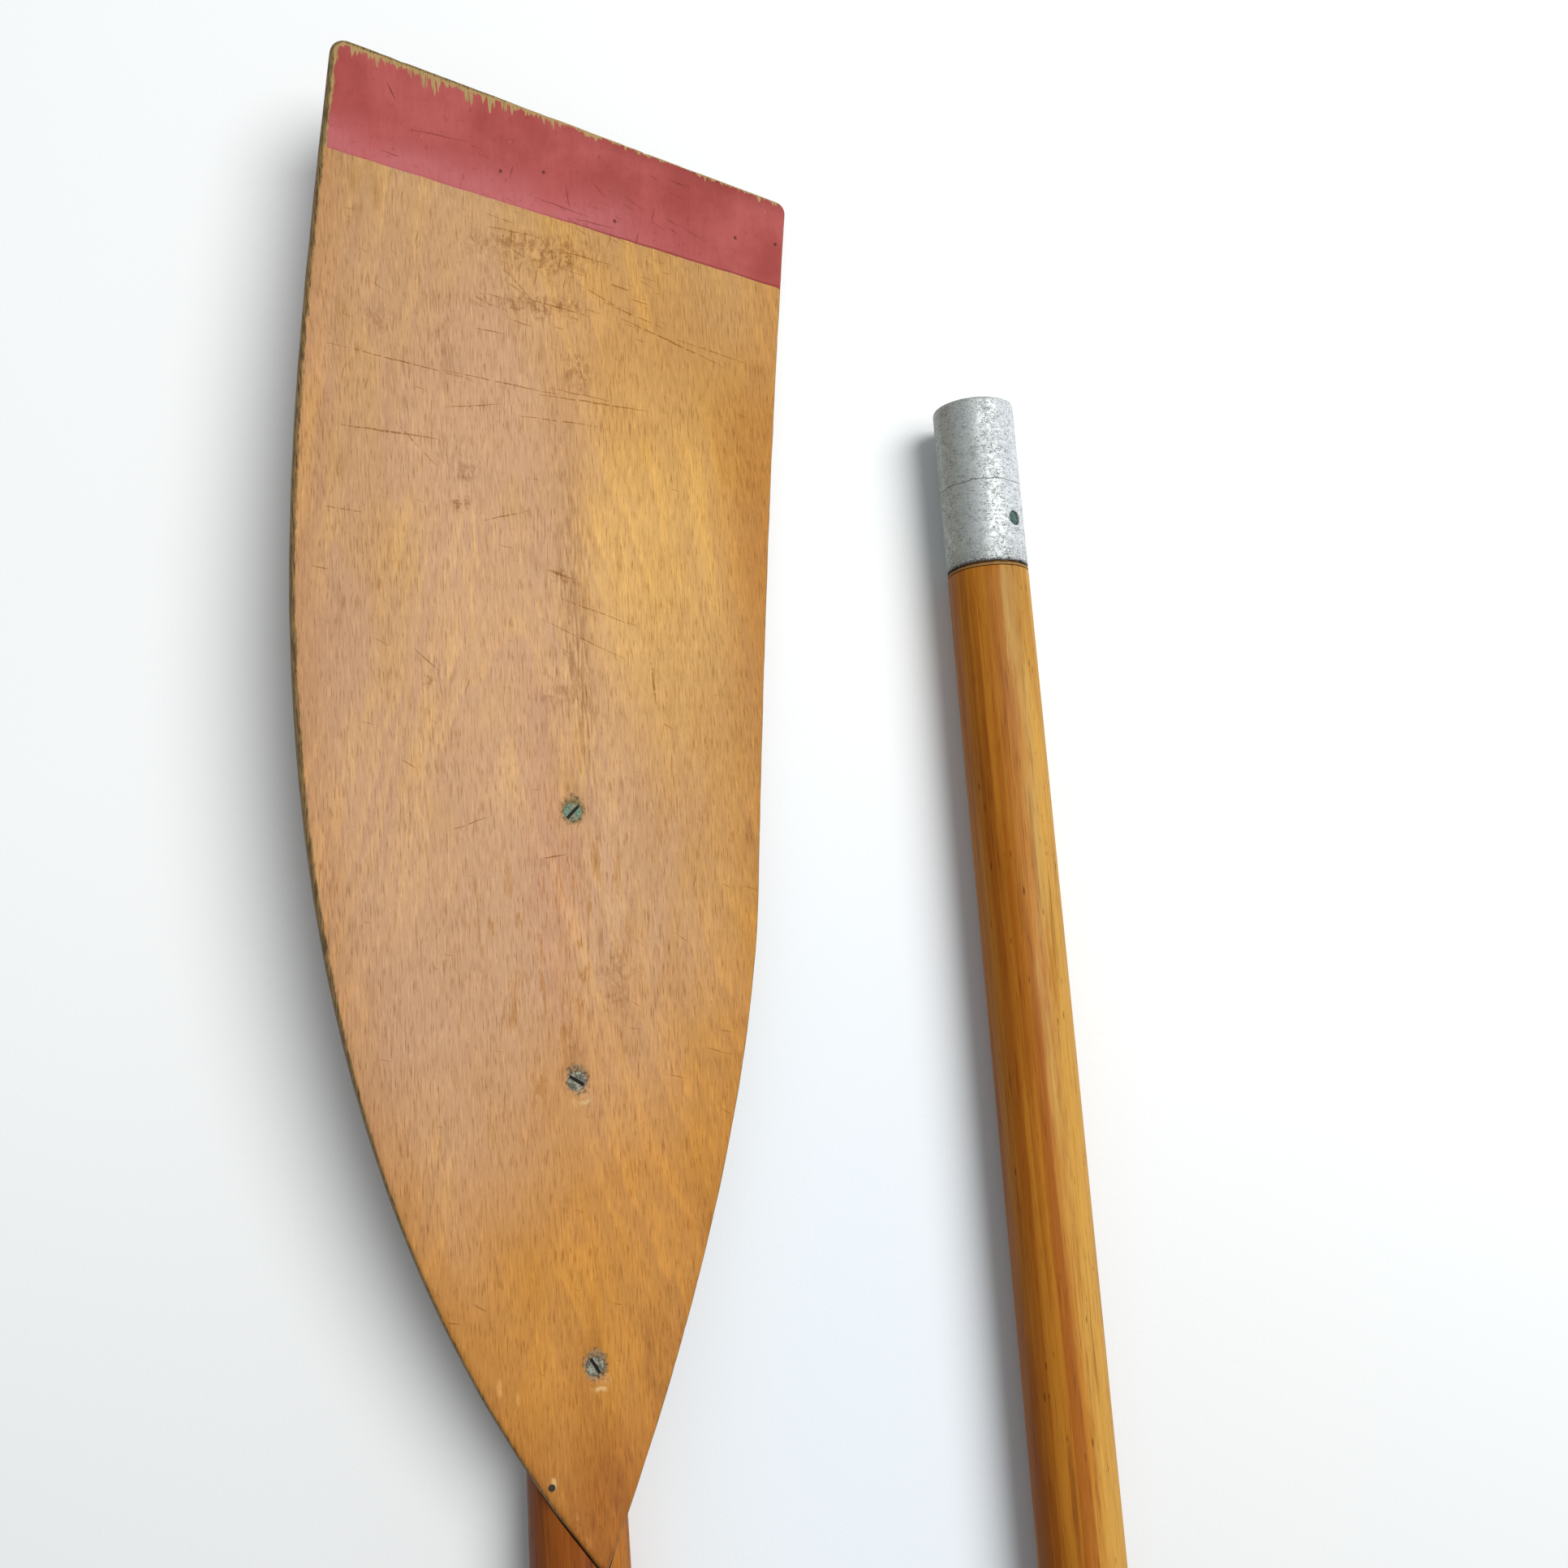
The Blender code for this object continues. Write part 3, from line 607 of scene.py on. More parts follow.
def tip_paint(graph, hairs):
    """The red band across the tip: its colour, where it is, and where the wood under it is bare."""
    x, y, _ = graph.parts()
    edge = graph.attribute("edge")
    tip_line = x * TIP_SLOPE + (TIP_LEFT[1] - TIP_SLOPE * TIP_LEFT[0])
    below_tip = tip_line - y
    band_line = x * PAINT_EDGE_SLOPE + PAINT_EDGE_START
    waver = graph.noise((70, 0, 0), 2) - 0.5
    above_band = y - (band_line + waver * 0.0012)
    painted = above_band.span(-0.0001, 0.0003)

    left_bias = x.span(0.045, -0.03)
    drips = graph.noise((560, 30, 0), 2, 0.7)
    clumps = graph.noise((95, 0, 0), 2, 0.6, shift=(4.4, 0, 0))
    run = drips.span(0.4, 0.68) * clumps.span(0.4, 0.58, 0.18, 1)
    depth = left_bias * 0.0016 + 0.0016 + run * (left_bias * 0.005 + 0.0026)
    chipped = (depth - below_tip).span(-0.0001, 0.0003)
    ragged = graph.noise((500, 120, 0), 3, 0.6)
    rim_width = 0.0014 + ragged * 0.0034
    left_rim = (rim_width - edge).span(-0.0002, 0.0003) * x.span(0, -0.04)
    speck = graph.noise((330, 210, 0), 2, shift=(8, 8, 0)).span(0.745, 0.76)
    bare = graph.maximum(chipped, left_rim, speck * 0.6) * painted

    cloud = graph.noise((34, 26, 0), 4, 0.6)
    brush = graph.noise((500, 60, 0), 3, 0.6)
    paint = graph.mix(cloud.span(0.35, 0.68), PAINT_DEEP, PAINT_ROSE)
    # Paler paint near the band's lower edge, left and middle: partly chalky paint, partly a painted sheen
    chalk_and_sheen = (above_band + (cloud - 0.5) * 0.05).span(0.02, 0)
    paint = graph.mix(chalk_and_sheen * x.span(0.075, 0.02) * 0.75, paint, PAINT_CHALK_AND_SHEEN)
    paint = graph.mix(brush.span(0.45, 0.7, 0, 0.22), paint, PAINT_DEEP)
    scratched = graph.maximum(*[graph.line_mark(*mark) for mark in PAINT_SCRATCHES])
    lines = graph.maximum(hairs * 0.9, scratched)
    paint = graph.mix(lines * 0.7, paint, PAINT_SCRATCHED)
    grime = graph.noise((420, 300, 0), 4, 0.75).span(0.56, 0.72)
    paint = graph.mix(grime * 0.55, paint, PAINT_GRIME)
    dots = graph.maximum(*[graph.spot(centre, 0.0006, 0.0007, 0.4) for centre in SPECKS])
    paint = graph.mix(dots * 0.85, paint, PAINT_SPECK)
    upper_right = below_tip.span(0.01, 0.001) * x.span(0, 0.06) * 0.5
    paint = graph.mix(upper_right, paint, PAINT_GRIME)
    near_bottom = above_band.span(0.0012, 0.0004) * x.span(0, 0.04, 0.15, 0.8)
    paint = graph.mix(near_bottom, paint, PAINT_LINE)
    return paint, painted, bare


def rim_wear_and_shade(graph):
    """A dark rounded rim: bare, weathered wood, wide and ragged on the left, and on the right a thin line of
    painted shade on the ply edge.
    """
    x, y, _ = graph.parts()
    edge = graph.attribute("edge")
    ragged = graph.noise((900, 170, 200), 3, 0.7)
    left = x.span(0.02, -0.02) * y.span(0.1, 0.26, 0.25, 1)
    limit = 0.0004 + left * 0.0004 + ragged * (0.0005 + left * 0.0024)
    return (limit - edge).span(-0.0002, 0.0004) * 0.92


def ply_edge_material(name, guide, colour_dark, colour_light):
    graph = Graph(name, guide)
    fibre = graph.noise((300, 60, 1800), 3, 0.6)
    stain = graph.noise((60, 25, 60), 3, 0.6)
    colour = graph.mix(fibre.span(0.35, 0.65), colour_dark, colour_light)
    colour = graph.mix(stain.span(0.45, 0.75, 0, 0.6), colour, (0.09, 0.06, 0.03))
    normal = graph.bump(fibre, 0.0002)
    return graph.surface(colour, 0.7, normal)


def back_face_material(guide):
    graph = Graph("blade_back_beech", guide)
    grain, fleck = flecks(graph)
    wood = grained(graph, beech_base(graph), grain, fleck)
    hairs = graph.noise((40, 600, 0), 2).span(0.7, 0.76)
    paint, painted, bare = tip_paint(graph, hairs)
    colour = graph.mix(painted, wood, paint)
    colour = graph.mix(bare, colour, BARE_OLIVE)
    # The rim: weathered wood on the left, painted shade on the right ply edge
    colour = graph.mix(rim_wear_and_shade(graph), colour, RIM_OLIVE)
    normal = graph.bump(fleck * -0.4, 0.00012)
    return graph.surface(colour, 0.56, normal, specular=0.14)


def shaft_material(name, guide, tone, pale, worn_from, worn_to):
    """Varnished wood with long grain: amber in the middle and left, paler on the right, the side towards the
    light: partly rubbed wood, partly painted light.
    """
    graph = Graph(name, guide)
    x, y, _ = graph.parts()
    rings = graph.noise(graph.wrapped(3, 3, (0, 3, 1)), 4, 0.6, 0.8)
    fibre = graph.noise(graph.wrapped(24, 14, (1, 0, 4)), 4, 0.65)
    pores = graph.noise(graph.wrapped(46, 70, (6, 2, 0)), 2, 0.5)
    stain = graph.noise(graph.wrapped(3.4, 14, (2, 8, 5)), 4, 0.65)
    light, mid, dark = tone
    colour = graph.mix(rings.span(0.4, 0.6), mid, light)
    rub = graph.noise(graph.wrapped(2.2, 16, (7, 1, 2)), 4, 0.7)
    # Paler on the right, the lit side, and towards the sleeve: partly rubbed wood, partly painted light
    right = x + (rub - 0.5) * 0.016
    rubbed_and_lit_right = right.span(0.0015, 0.0085) * 0.85
    high = y + (rub - 0.5) * 0.1
    near_sleeve = high.span(worn_from, worn_to) * right.span(-0.006, 0.004) * 0.45
    worn_and_lit = graph.maximum(rubbed_and_lit_right, near_sleeve)
    colour = graph.mix(worn_and_lit, colour, pale)
    # A tan band along the lit right side: partly rubbed wood, partly a painted lit stripe
    rubbed_and_lit_band = abs(right - 0.0058).span(0.0046, 0.0012)
    rubbed_and_lit_band = rubbed_and_lit_band * high.span(worn_from - 0.06, worn_to) * rub.span(0.3, 0.6, 0.15, 0.8)
    colour = graph.mix(rubbed_and_lit_band, colour, RUBBED_AND_LIT_TAN)
    blotch = graph.noise(graph.wrapped(1.3, 9, (9, 5, 3)), 4, 0.7).span(0.48, 0.68)
    colour = graph.tint(blotch * 0.7, colour, (0.74, 0.62, 0.46))
    colour = graph.mix(fibre.span(0.5, 0.74, 0, 0.48), colour, dark)
    colour = graph.tint(fibre.span(0.44, 0.28, 0, 0.6), colour, (1.22, 1.24, 1.15))
    colour = graph.tint(pores.span(0.58, 0.7, 0, 0.75), colour, STREAKED)
    streaks = stain.span(0.56, 0.7) * fibre.span(0.34, 0.54) * 0.5
    colour = graph.tint(streaks, colour, (0.42, 0.3, 0.2))
    spots = graph.cells(graph.wrapped(5, 75, (4, 4, 0)))
    spotted = spots.span(0.15, 0.08) * stain.span(0.44, 0.56)
    colour = graph.tint(spotted * 0.85, colour, (0.35, 0.28, 0.22))
    nicks = graph.noise(graph.wrapped(11, 210, (0, 5, 2)), 2, 0.6)
    nicked = nicks.span(0.64, 0.72) * right.span(0.004, 0.01)
    colour = graph.tint(nicked * 0.7, colour, BROWNED)
    knocks = graph.cells(graph.wrapped(3, 26, (0, 9, 3)))
    height = pores * -0.25 - knocks.span(0.16, 0.05) - nicked * 0.6
    ripple = graph.noise(graph.wrapped(3, 28, (3, 3, 3)), 3, 0.5)
    normal = graph.bump(height, 0.00016, None, 0.7)
    normal = graph.bump(ripple, 0.0004, normal, 0.5)
    rough = graph.noise(graph.wrapped(2, 16, (5, 5, 1)), 4, 0.65).span(0.35, 0.65, 0.4, 0.55)
    rough = rough + worn_and_lit * 0.14
    return graph.surface(colour, rough, normal, specular=0.12)


def ferrule_material(name, guide, low_y, length):
    """Dull drawn aluminium, covered with fine dark scuffs and crusted along its lower edge, with painted
    light paling its right side.
    """
    graph = Graph(name, guide)
    x, y, _ = graph.parts()

    def worms(field, width):
        crossing = abs(graph.noise(field, 3, 0.6, 1.2) - 0.5)
        return crossing.span(width, width * 0.35)

    cloud = graph.noise(graph.wrapped(2.2, 90), 4, 0.65)
    patches = graph.noise(graph.wrapped(5, 420, (1, 4, 2)), 3, 0.7).span(0.38, 0.54)
    fine = worms(graph.wrapped(7.5, 1050), 0.042) * patches
    coarse = worms(graph.wrapped(4, 420, (3, 3, 9)), 0.012)
    speckle = graph.noise(graph.wrapped(34, 3400), 3, 0.75)
    pits = speckle.span(0.62, 0.72)
    from_low = y - low_y
    colour = graph.mix(cloud.span(0.35, 0.68), (0.44, 0.472, 0.468), (0.56, 0.59, 0.592))
    # Painted light: the right side, towards the light, made paler
    colour = graph.mix(x.span(0.002, 0.012), colour, (0.72, 0.75, 0.78))
    green = x.span(0, -0.013) * cloud.span(0.36, 0.6) * 0.45
    colour = graph.mix(green, colour, (0.3, 0.4, 0.35))
    marks = graph.maximum(fine, coarse, pits * 0.45)
    colour = graph.mix(marks * 0.8, colour, (0.085, 0.09, 0.082))
    low_pits = speckle.span(0.5, 0.6) * from_low.span(0.009, 0.001)
    colour = graph.mix(low_pits * 0.8, colour, (0.07, 0.065, 0.05))
    crust_line = 0.0003 + speckle.span(0.35, 0.75) * 0.0022
    crust = (crust_line - from_low).span(-0.0003, 0.0004)
    colour = graph.mix(crust, colour, (0.045, 0.04, 0.03))
    wander = (graph.noise(graph.wrapped(2, 60), 3, 0.7) - 0.5) * 0.003
    ring_place = from_low - length * 0.495 + wander
    ring = abs(ring_place).span(0.00032, 0.00008) * speckle.span(0.34, 0.5)
    colour = graph.mix(ring * 0.8, colour, (0.08, 0.085, 0.08))
    height = speckle * 0.5 - marks
    normal = graph.bump(height, 0.00003, None, 0.8)
    rough = cloud.span(0.35, 0.68, 0.62, 0.52) + marks * 0.2
    metallic = 0.7 - graph.maximum(crust, marks) * 0.6
    return graph.surface(colour, rough, normal, metallic=metallic, specular=0.3)


def tarnished_material(name, guide, base, tarnish, scale, slot_floor=None):
    """Old brass: two blotchy tones and grit, and near-black below slot_floor where that is given: dirt and
    painted shade in the slot.
    """
    graph = Graph(name, guide)
    blotch = graph.noise((scale, scale, scale), 4, 0.7)
    grit = graph.noise((scale * 4, scale * 4, scale * 4), 3, 0.7)
    colour = graph.mix(blotch.span(0.44, 0.56), base, tarnish)
    colour = graph.mix(grit.span(0.5, 0.66, 0, 0.75), colour, (0.045, 0.04, 0.03))
    metallic = blotch.span(0.42, 0.58, 0.6, 0.1)
    if slot_floor is not None:
        _, _, z = graph.parts()
        # Dirt and painted shade: near-black at the bottom of the slot
        slot_dirt_and_shade = z.span(slot_floor + 0.00022, slot_floor + 0.00008)
        colour = graph.mix(slot_dirt_and_shade, colour, SLOT_DIRT_AND_SHADE)
        metallic = metallic * (1 - slot_dirt_and_shade)
    normal = graph.bump(grit + blotch, 0.00025)
    return graph.surface(colour, grit.span(0.3, 0.7, 0.5, 0.75), normal, metallic=metallic, specular=0.2)


def rubber_material(name, guide, colour, pale):
    graph = Graph(name, guide)
    dust = graph.noise((90, 60, 90), 4, 0.65)
    grit = graph.noise((1500, 1500, 1500), 3, 0.7)
    shade = graph.mix(dust.span(0.45, 0.75, 0, 0.6), colour, pale)
    normal = graph.bump(grit, 0.0001)
    return graph.surface(shade, dust.span(0.4, 0.7, 0.62, 0.82), normal, specular=0.35)


def floor_material():
    """A white table top with painted light: darker towards the bottom of the view, and bluer and darker right
    of the blade's heel, a patch of painted cool shade.
    """
    graph = Graph("floor_white", None)
    tone = graph.noise((3, 3, 3), 2)
    colour = graph.mix(tone.span(0.3, 0.7), (0.805, 0.82, 0.822), (0.815, 0.828, 0.83))
    _, y, _ = graph.parts()
    # Painted light fall-off: the floor's colour grows darker towards the bottom of the view
    painted_light_falloff = y.span(HEEL_Y - 0.1, HEEL_Y + 0.32, 0.86, 1)
    colour = graph.scale_vector(colour, painted_light_falloff)
    # Painted cool shade: a bluer, darker patch on the floor right of the blade's heel
    painted_cool_shade = graph.spot((AXIS_A.x + 0.105, HEEL_Y + 0.03), 0.085, 0.19, 0.7)
    colour = graph.mix(painted_cool_shade * 0.55, colour, (0.69, 0.76, 0.83))
    grit = graph.noise((700, 700, 700), 2)
    return graph.surface(colour, 0.6, graph.bump(grit, 0.00004), specular=0.2)


# ---- mesh building

def new_piece(node, bm, body, material, place=None, smooth_angle=35):
    """Make the piece that stands for a CAD node, baked into its place, and ride it on its body."""
    place = place or PLACES[body]
    bmesh.ops.recalc_face_normals(bm, faces=bm.faces)
    bmesh.ops.transform(bm, matrix=place, verts=bm.verts)
    piece = linked_object(node + "_visual", bm)
    piece.data.materials.append(material)
    piece.data.shade_smooth()
    piece.data.set_sharp_from_angle(angle=math.radians(smooth_angle))
    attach(piece, body)
    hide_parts(node)
    return piece


def linked_object(name, bm):
    mesh = bpy.data.meshes.new(name)
    bm.to_mesh(mesh)
    bm.free()
    made = bpy.data.objects.new(name, mesh)
    bpy.context.scene.collection.objects.link(made)
    return made


def guide_empty(name, body):
    """An empty whose axes the materials of one section are drawn in."""
    empty = bpy.data.objects.new(name, None)
    bpy.context.scene.collection.objects.link(empty)
    empty.matrix_world = PLACES[body]
    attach(empty, body)
    return empty


def paint_cad_node(node, material):
    """Give a CAD node that is shown as it is its material."""
    materials = frame["nodes"][node].data.materials
    materials.clear()
    materials.append(material)


def bridge(bm, rings, closed=False):
    count = len(rings[0])
    pairs = list(zip(rings, rings[1:]))
    if closed:
        pairs.append((rings[-1], rings[0]))
    for lower, upper in pairs:
        for i in range(count):
            j = (i + 1) % count
            bm.faces.new((lower[i], lower[j], upper[j], upper[i]))


def turned(profile, steps, closed, lift=None):
    """Turn (radius, y) points about Y. lift(angle, y, radius) gives a change of the radius."""
    bm = bmesh.new()
    rings = []
    for radius, y in profile:
        ring = []
        for i in range(steps):
            angle = 2 * math.pi * i / steps
            r = radius + (lift(angle, y, radius) if lift else 0)
            ring.append(bm.verts.new((r * math.cos(angle), y, r * math.sin(angle))))
        rings.append(ring)
    bridge(bm, rings, closed)
    if not closed:
        bm.faces.new(rings[0])
        bm.faces.new(rings[-1])
    return bm


def noise_at(x, y, z):
    return noise.noise(Vector((x, y, z)))


def rough_skin(inside, round_scale, long_scale, depth):
    """A lift for turned: small hollows in every surface that lies outside a radius."""
    def lift(angle, y, radius):
        if radius < inside:
            return 0
        bump = noise_at(math.cos(angle) * round_scale, math.sin(angle) * round_scale, y * long_scale)
        return -depth * (1 + bump)

    return lift


def cut_with(piece, cutter_bm, place):
    """Subtract a cutter from a piece, and keep only the result."""
    bmesh.ops.recalc_face_normals(cutter_bm, faces=cutter_bm.faces)
    bmesh.ops.transform(cutter_bm, matrix=place, verts=cutter_bm.verts)
    cutter = linked_object("cutter", cutter_bm)
    modifier = piece.modifiers.new("cut", "BOOLEAN")
    modifier.operation = "DIFFERENCE"
    modifier.solver = "EXACT"
    modifier.object = cutter
    bpy.context.view_layer.update()
    evaluated = piece.evaluated_get(bpy.context.evaluated_depsgraph_get())
    result = bpy.data.meshes.new_from_object(evaluated)
    piece.modifiers.clear()
    piece.data = result
    bpy.data.objects.remove(cutter)


# ---- blade outline

def bezier(start, handle_a, handle_b, end, steps=SIDE_STEPS):
    control = (start, handle_a, handle_b, end)
    points = []
    for i in range(steps):
        t = i / steps
        u = 1 - t
        weights = (u * u * u, 3 * u * u * t, 3 * u * t * t, t * t * t)
        points.append(tuple(sum(w * p[k] for w, p in zip(weights, control)) for k in (0, 1)))
    return points


def stepped(point, direction, distance):
    length = math.hypot(*direction)
    return tuple(point[k] + direction[k] / length * distance for k in (0, 1))


def rounded_corner(corner, towards_before, towards_after, size):
    start = stepped(corner, towards_before, size)
    end = stepped(corner, towards_after, size)
    handle_a = stepped(corner, towards_before, size * CORNER_FULLNESS)
    handle_b = stepped(corner, towards_after, size * CORNER_FULLNESS)
    return bezier(start, handle_a, handle_b, end, CORNER_STEPS) + [end]


def blade_outline():
    """The board's edge, the same curves as the CAD's, with evenly spaced points."""
    along_tip = (TIP_LEFT[0] - TIP_RIGHT[0], TIP_LEFT[1] - TIP_RIGHT[1])
    back_along_tip = (-along_tip[0], -along_tip[1])
    right = rounded_corner(TIP_RIGHT, RIGHT_EDGE_AT_TIP, along_tip, RIGHT_CORNER)
    left = rounded_corner(TIP_LEFT, back_along_tip, LEFT_EDGE_AT_TIP, LEFT_CORNER)
    points = bezier(HEEL, *LOWER_RIGHT_BEND, RIGHT_SHOULDER)
    points += bezier(RIGHT_SHOULDER, *UPPER_RIGHT_BEND, right[0])
    points += right + left
    points += bezier(left[-1], *UPPER_LEFT_BEND, LEFT_BULGE)[1:]
    points += bezier(LEFT_BULGE, *LOWER_LEFT_BEND, HEEL)
    return evenly_spaced(points, POINT_SPACING)


def evenly_spaced(points, spacing):
    loop = points + [points[0]]
    lengths = [math.dist(a, b) for a, b in zip(loop, loop[1:])]
    total = sum(lengths)
    count = int(total / spacing)
    result = []
    index = 0
    passed = 0
    for i in range(count):
        target = total * i / count
        while passed + lengths[index] < target:
            passed += lengths[index]
            index += 1
        t = (target - passed) / lengths[index]
        a, b = loop[index], loop[index + 1]
        result.append((a[0] + (b[0] - a[0]) * t, a[1] + (b[1] - a[1]) * t))
    return result


def outline_normals(points):
    """Outward directions, smoothed over a few points on each side."""
    reach = 3
    count = len(points)
    normals = []
    for i in range(count):
        before = points[i - reach]
        after = points[(i + reach) % count]
        along = Vector((after[0] - before[0], after[1] - before[1])).normalized()
        normals.append((along.y, -along.x))
    return normals


def below_tip_line(x, y):
    return TIP_LEFT[1] + TIP_SLOPE * (x - TIP_LEFT[0]) - y


def quarter_round(depth, rounding):
    """How far a rounded edge has drawn in at a depth under the face that it rounds."""
    if depth >= rounding:
        return 0
    t = 1 - depth / rounding
    return rounding * (1 - math.sqrt(1 - t * t))


def edge_inset(point, depth):
    """How far the board's rounded and worn edge lies inside its outline at a depth under the face."""
    inset = quarter_round(depth, FACE_ROUNDING) * FACE_ROUNDING_FULLNESS
    inset += quarter_round(BOARD_THICKNESS - depth, BACK_ROUNDING)
    x, y = point
    soft = 0.00012 * (1 + noise_at(x * 90, y * 90, depth * 300))
    nick = max(0, noise_at(x * 260, y * 260, depth * 500) - 0.25)
    near_tip = max(0, 1 - below_tip_line(x, y) / 0.01)
    inset += soft + nick * (0.0002 + 0.0011 * near_tip)
    return min(inset, HEEL_ROOM * math.dist(point, HEEL))


# ---- plies

def hole_circle(centre, depth):
    """The screw hole's rim at a depth: countersunk, then straight."""
    radius = max(SCREW_SHANK_HOLE, SCREW_HEAD_RADIUS + SCREW_HEAD_CLEARANCE - depth * COUNTERSINK_SLOPE)
    turns = [2 * math.pi * i / HOLE_STEPS for i in range(HOLE_STEPS)]
    return [(centre[0] + radius * math.cos(a), centre[1] + radius * math.sin(a)) for a in turns]


def fill_plate(loop, depth, interior):
    """Triangles that fill a loop of 2D points round the screw holes, with extra points inside."""
    coords = [Vector(p) for p in loop]
    edges = []
    for centre in SCREW_PLACES:
        start = len(coords)
        coords += [Vector(p) for p in hole_circle(centre, depth)]
        edges += [(start + i, start + (i + 1) % HOLE_STEPS) for i in range(HOLE_STEPS)]
    coords += [Vector(p) for p in interior]
    verts, _, tris, _, _, _ = geometry.delaunay_2d_cdt(coords, edges, [list(range(len(loop)))], 1, 1e-9)
    return verts, [tri for tri in tris if not in_a_hole([verts[i] for i in tri], depth)]


def in_a_hole(corners, depth):
    middle = sum(corners, Vector((0, 0))) / len(corners)
    for centre in SCREW_PLACES:
        rim = hole_circle(centre, depth)[0]
        if math.dist(middle, centre) < math.dist(rim, centre):
            return True
    return False


def inside_grid(loop):
    """A staggered grid of points inside the outline and clear of the screw holes."""
    heights = [p[1] for p in loop]
    points = []
    row = 0
    y = min(heights)
    while y < max(heights):
        crossings = row_crossings(loop, y)
        if len(crossings) == 2:
            x = crossings[0] + GRID_MARGIN + (FACE_GRID * 0.5 if row % 2 else 0)
            while x < crossings[1] - GRID_MARGIN:
                if all(math.dist((x, y), centre) > HOLE_MARGIN for centre in SCREW_PLACES):
                    points.append((x, y))
                x += FACE_GRID
        y += FACE_GRID * 0.866
        row += 1
    return points


def row_crossings(loop, y):
    found = []
    for a, b in zip(loop, loop[1:] + loop[:1]):
        if (a[1] - y) * (b[1] - y) < 0:
            t = (y - a[1]) / (b[1] - a[1])
            found.append(a[0] + (b[0] - a[0]) * t)
    return sorted(found)


def wear_rings(outline, normals):
    """Points inside the edge, so that the face's edge distance is stored finely there."""
    points = []
    for inset in WEAR_RINGS:
        for point, normal in list(zip(outline, normals))[::2]:
            moved = (point[0] - normal[0] * inset, point[1] - normal[1] * inset)
            if min(math.dist(moved, other) for other in outline[::2]) > WEAR_RING_CLEARANCE:
                points.append(moved)
    return points


def face_dip(x, y):
    """Small real unevenness of the face: a slow wave, and hollows round the screws."""
    dip = 0.0001 * noise_at(x * 30, y * 12, 0)
    for across, along in SCREW_PLACES:
        distance = math.hypot(x - across, (y - along) * 0.8)
        dip -= 0.00035 * math.exp(-((distance / 0.0055) ** 2))
    return dip


def build_ply(index, outline, normals, material, grid):
    """One veneer of the board as a closed solid with the screw holes through it."""
    last = len(PLY_NAMES) - 1
    ply = BOARD_THICKNESS / len(PLY_NAMES)
    top = index * ply + (GLUE_LINE if index else 0)
    low = (index + 1) * ply - (GLUE_LINE if index < last else 0)
    steps = 3 if index else 5
    bm = bmesh.new()
    edge_layer = bm.verts.layers.float.new("edge")
    rings = []
    for k in range(steps + 1):
        depth = top + (low - top) * k / steps
        ring = []
        for point, normal in zip(outline, normals):
            inset = edge_inset(point, depth)
            place = (point[0] - normal[0] * inset, point[1] - normal[1] * inset, FACE_HEIGHT - depth)
            vert = bm.verts.new(place)
            vert[edge_layer] = inset
            ring.append(vert)
        rings.append(ring)
    bridge(bm, rings)
    cap_ply(bm, rings[0], top, grid if index == 0 else [], outline)
    cap_ply(bm, rings[-1], low, grid if index == last else [], outline)
    join_hole_walls(bm)
    new_piece(PLY_NAMES[index], bm, "blade_section", material, smooth_angle=50)


def cap_ply(bm, ring, depth, interior, outline):
    """Close a ply at a depth. The face itself, at depth 0, is made slightly uneven."""
    edge_layer = bm.verts.layers.float["edge"]
    verts, tris = fill_plate([(v.co.x, v.co.y) for v in ring], depth, interior)
    made = list(ring)
    for co in verts[len(ring):]:
        lift = 0 if depth else face_dip(co.x, co.y)
        vert = bm.verts.new((co.x, co.y, FACE_HEIGHT - depth + lift))
        vert[edge_layer] = min(math.dist(co, p) for p in outline[::3])
        made.append(vert)
    for tri in tris:
        bm.faces.new([made[i] for i in tri])


def join_hole_walls(bm):
    """Bridge the open rims of each screw hole between the two caps."""
    rims = [edge for edge in bm.edges if edge.is_boundary]
    for centre in SCREW_PLACES:
        near = [e for e in rims if all(math.dist(v.co.xy, centre) < HOLE_REACH for v in e.verts)]
        bmesh.ops.bridge_loops(bm, edges=near)


def build_blade(guide):
    outline = blade_outline()
    normals = outline_normals(outline)
    long_grain = ply_edge_material("ply_edge_long_grain", guide, (0.2, 0.125, 0.05), (0.36, 0.235, 0.105))
    end_grain = ply_edge_material("ply_edge_end_grain", guide, (0.12, 0.075, 0.03), (0.23, 0.145, 0.06))
    face = blade_face_material(guide)
    back = back_face_material(guide)
    grid = inside_grid(outline) + wear_rings(outline, normals)
    for index, finish in enumerate((face, end_grain, long_grain, end_grain, back)):
        build_ply(index, outline, normals, finish, grid)


# ---- fasteners and shaft

def build_blade_shaft(guide):
    tone = ((0.24, 0.066, 0.008), (0.17, 0.04, 0.004), (0.095, 0.022, 0.003))
    pale = (0.4, 0.15, 0.024)
    paint_cad_node("blade_shaft", shaft_material("blade_shaft_varnish", guide, tone, pale, 0.2, 0.4))


def screw_mesh():
    """A countersunk screw along Y, with a slightly domed head at the top."""
    edge = SCREW_HEAD_RADIUS
    profile = [(0.0004, -0.0135), (0.0016, -0.011), (0.0016, -0.003), (edge - 0.00012, -0.00042)]
    profile += [(edge, -0.0003), (edge - 0.0001, -0.00018)]
    for t in (0.2, 0.4, 0.6, 0.8):
        profile.append((edge * (1 - t), -0.00018 + 0.00014 * math.sin(t * math.pi / 2)))
    profile.append((0.0001, -0.00003))
    return turned(profile, 48, closed=False)


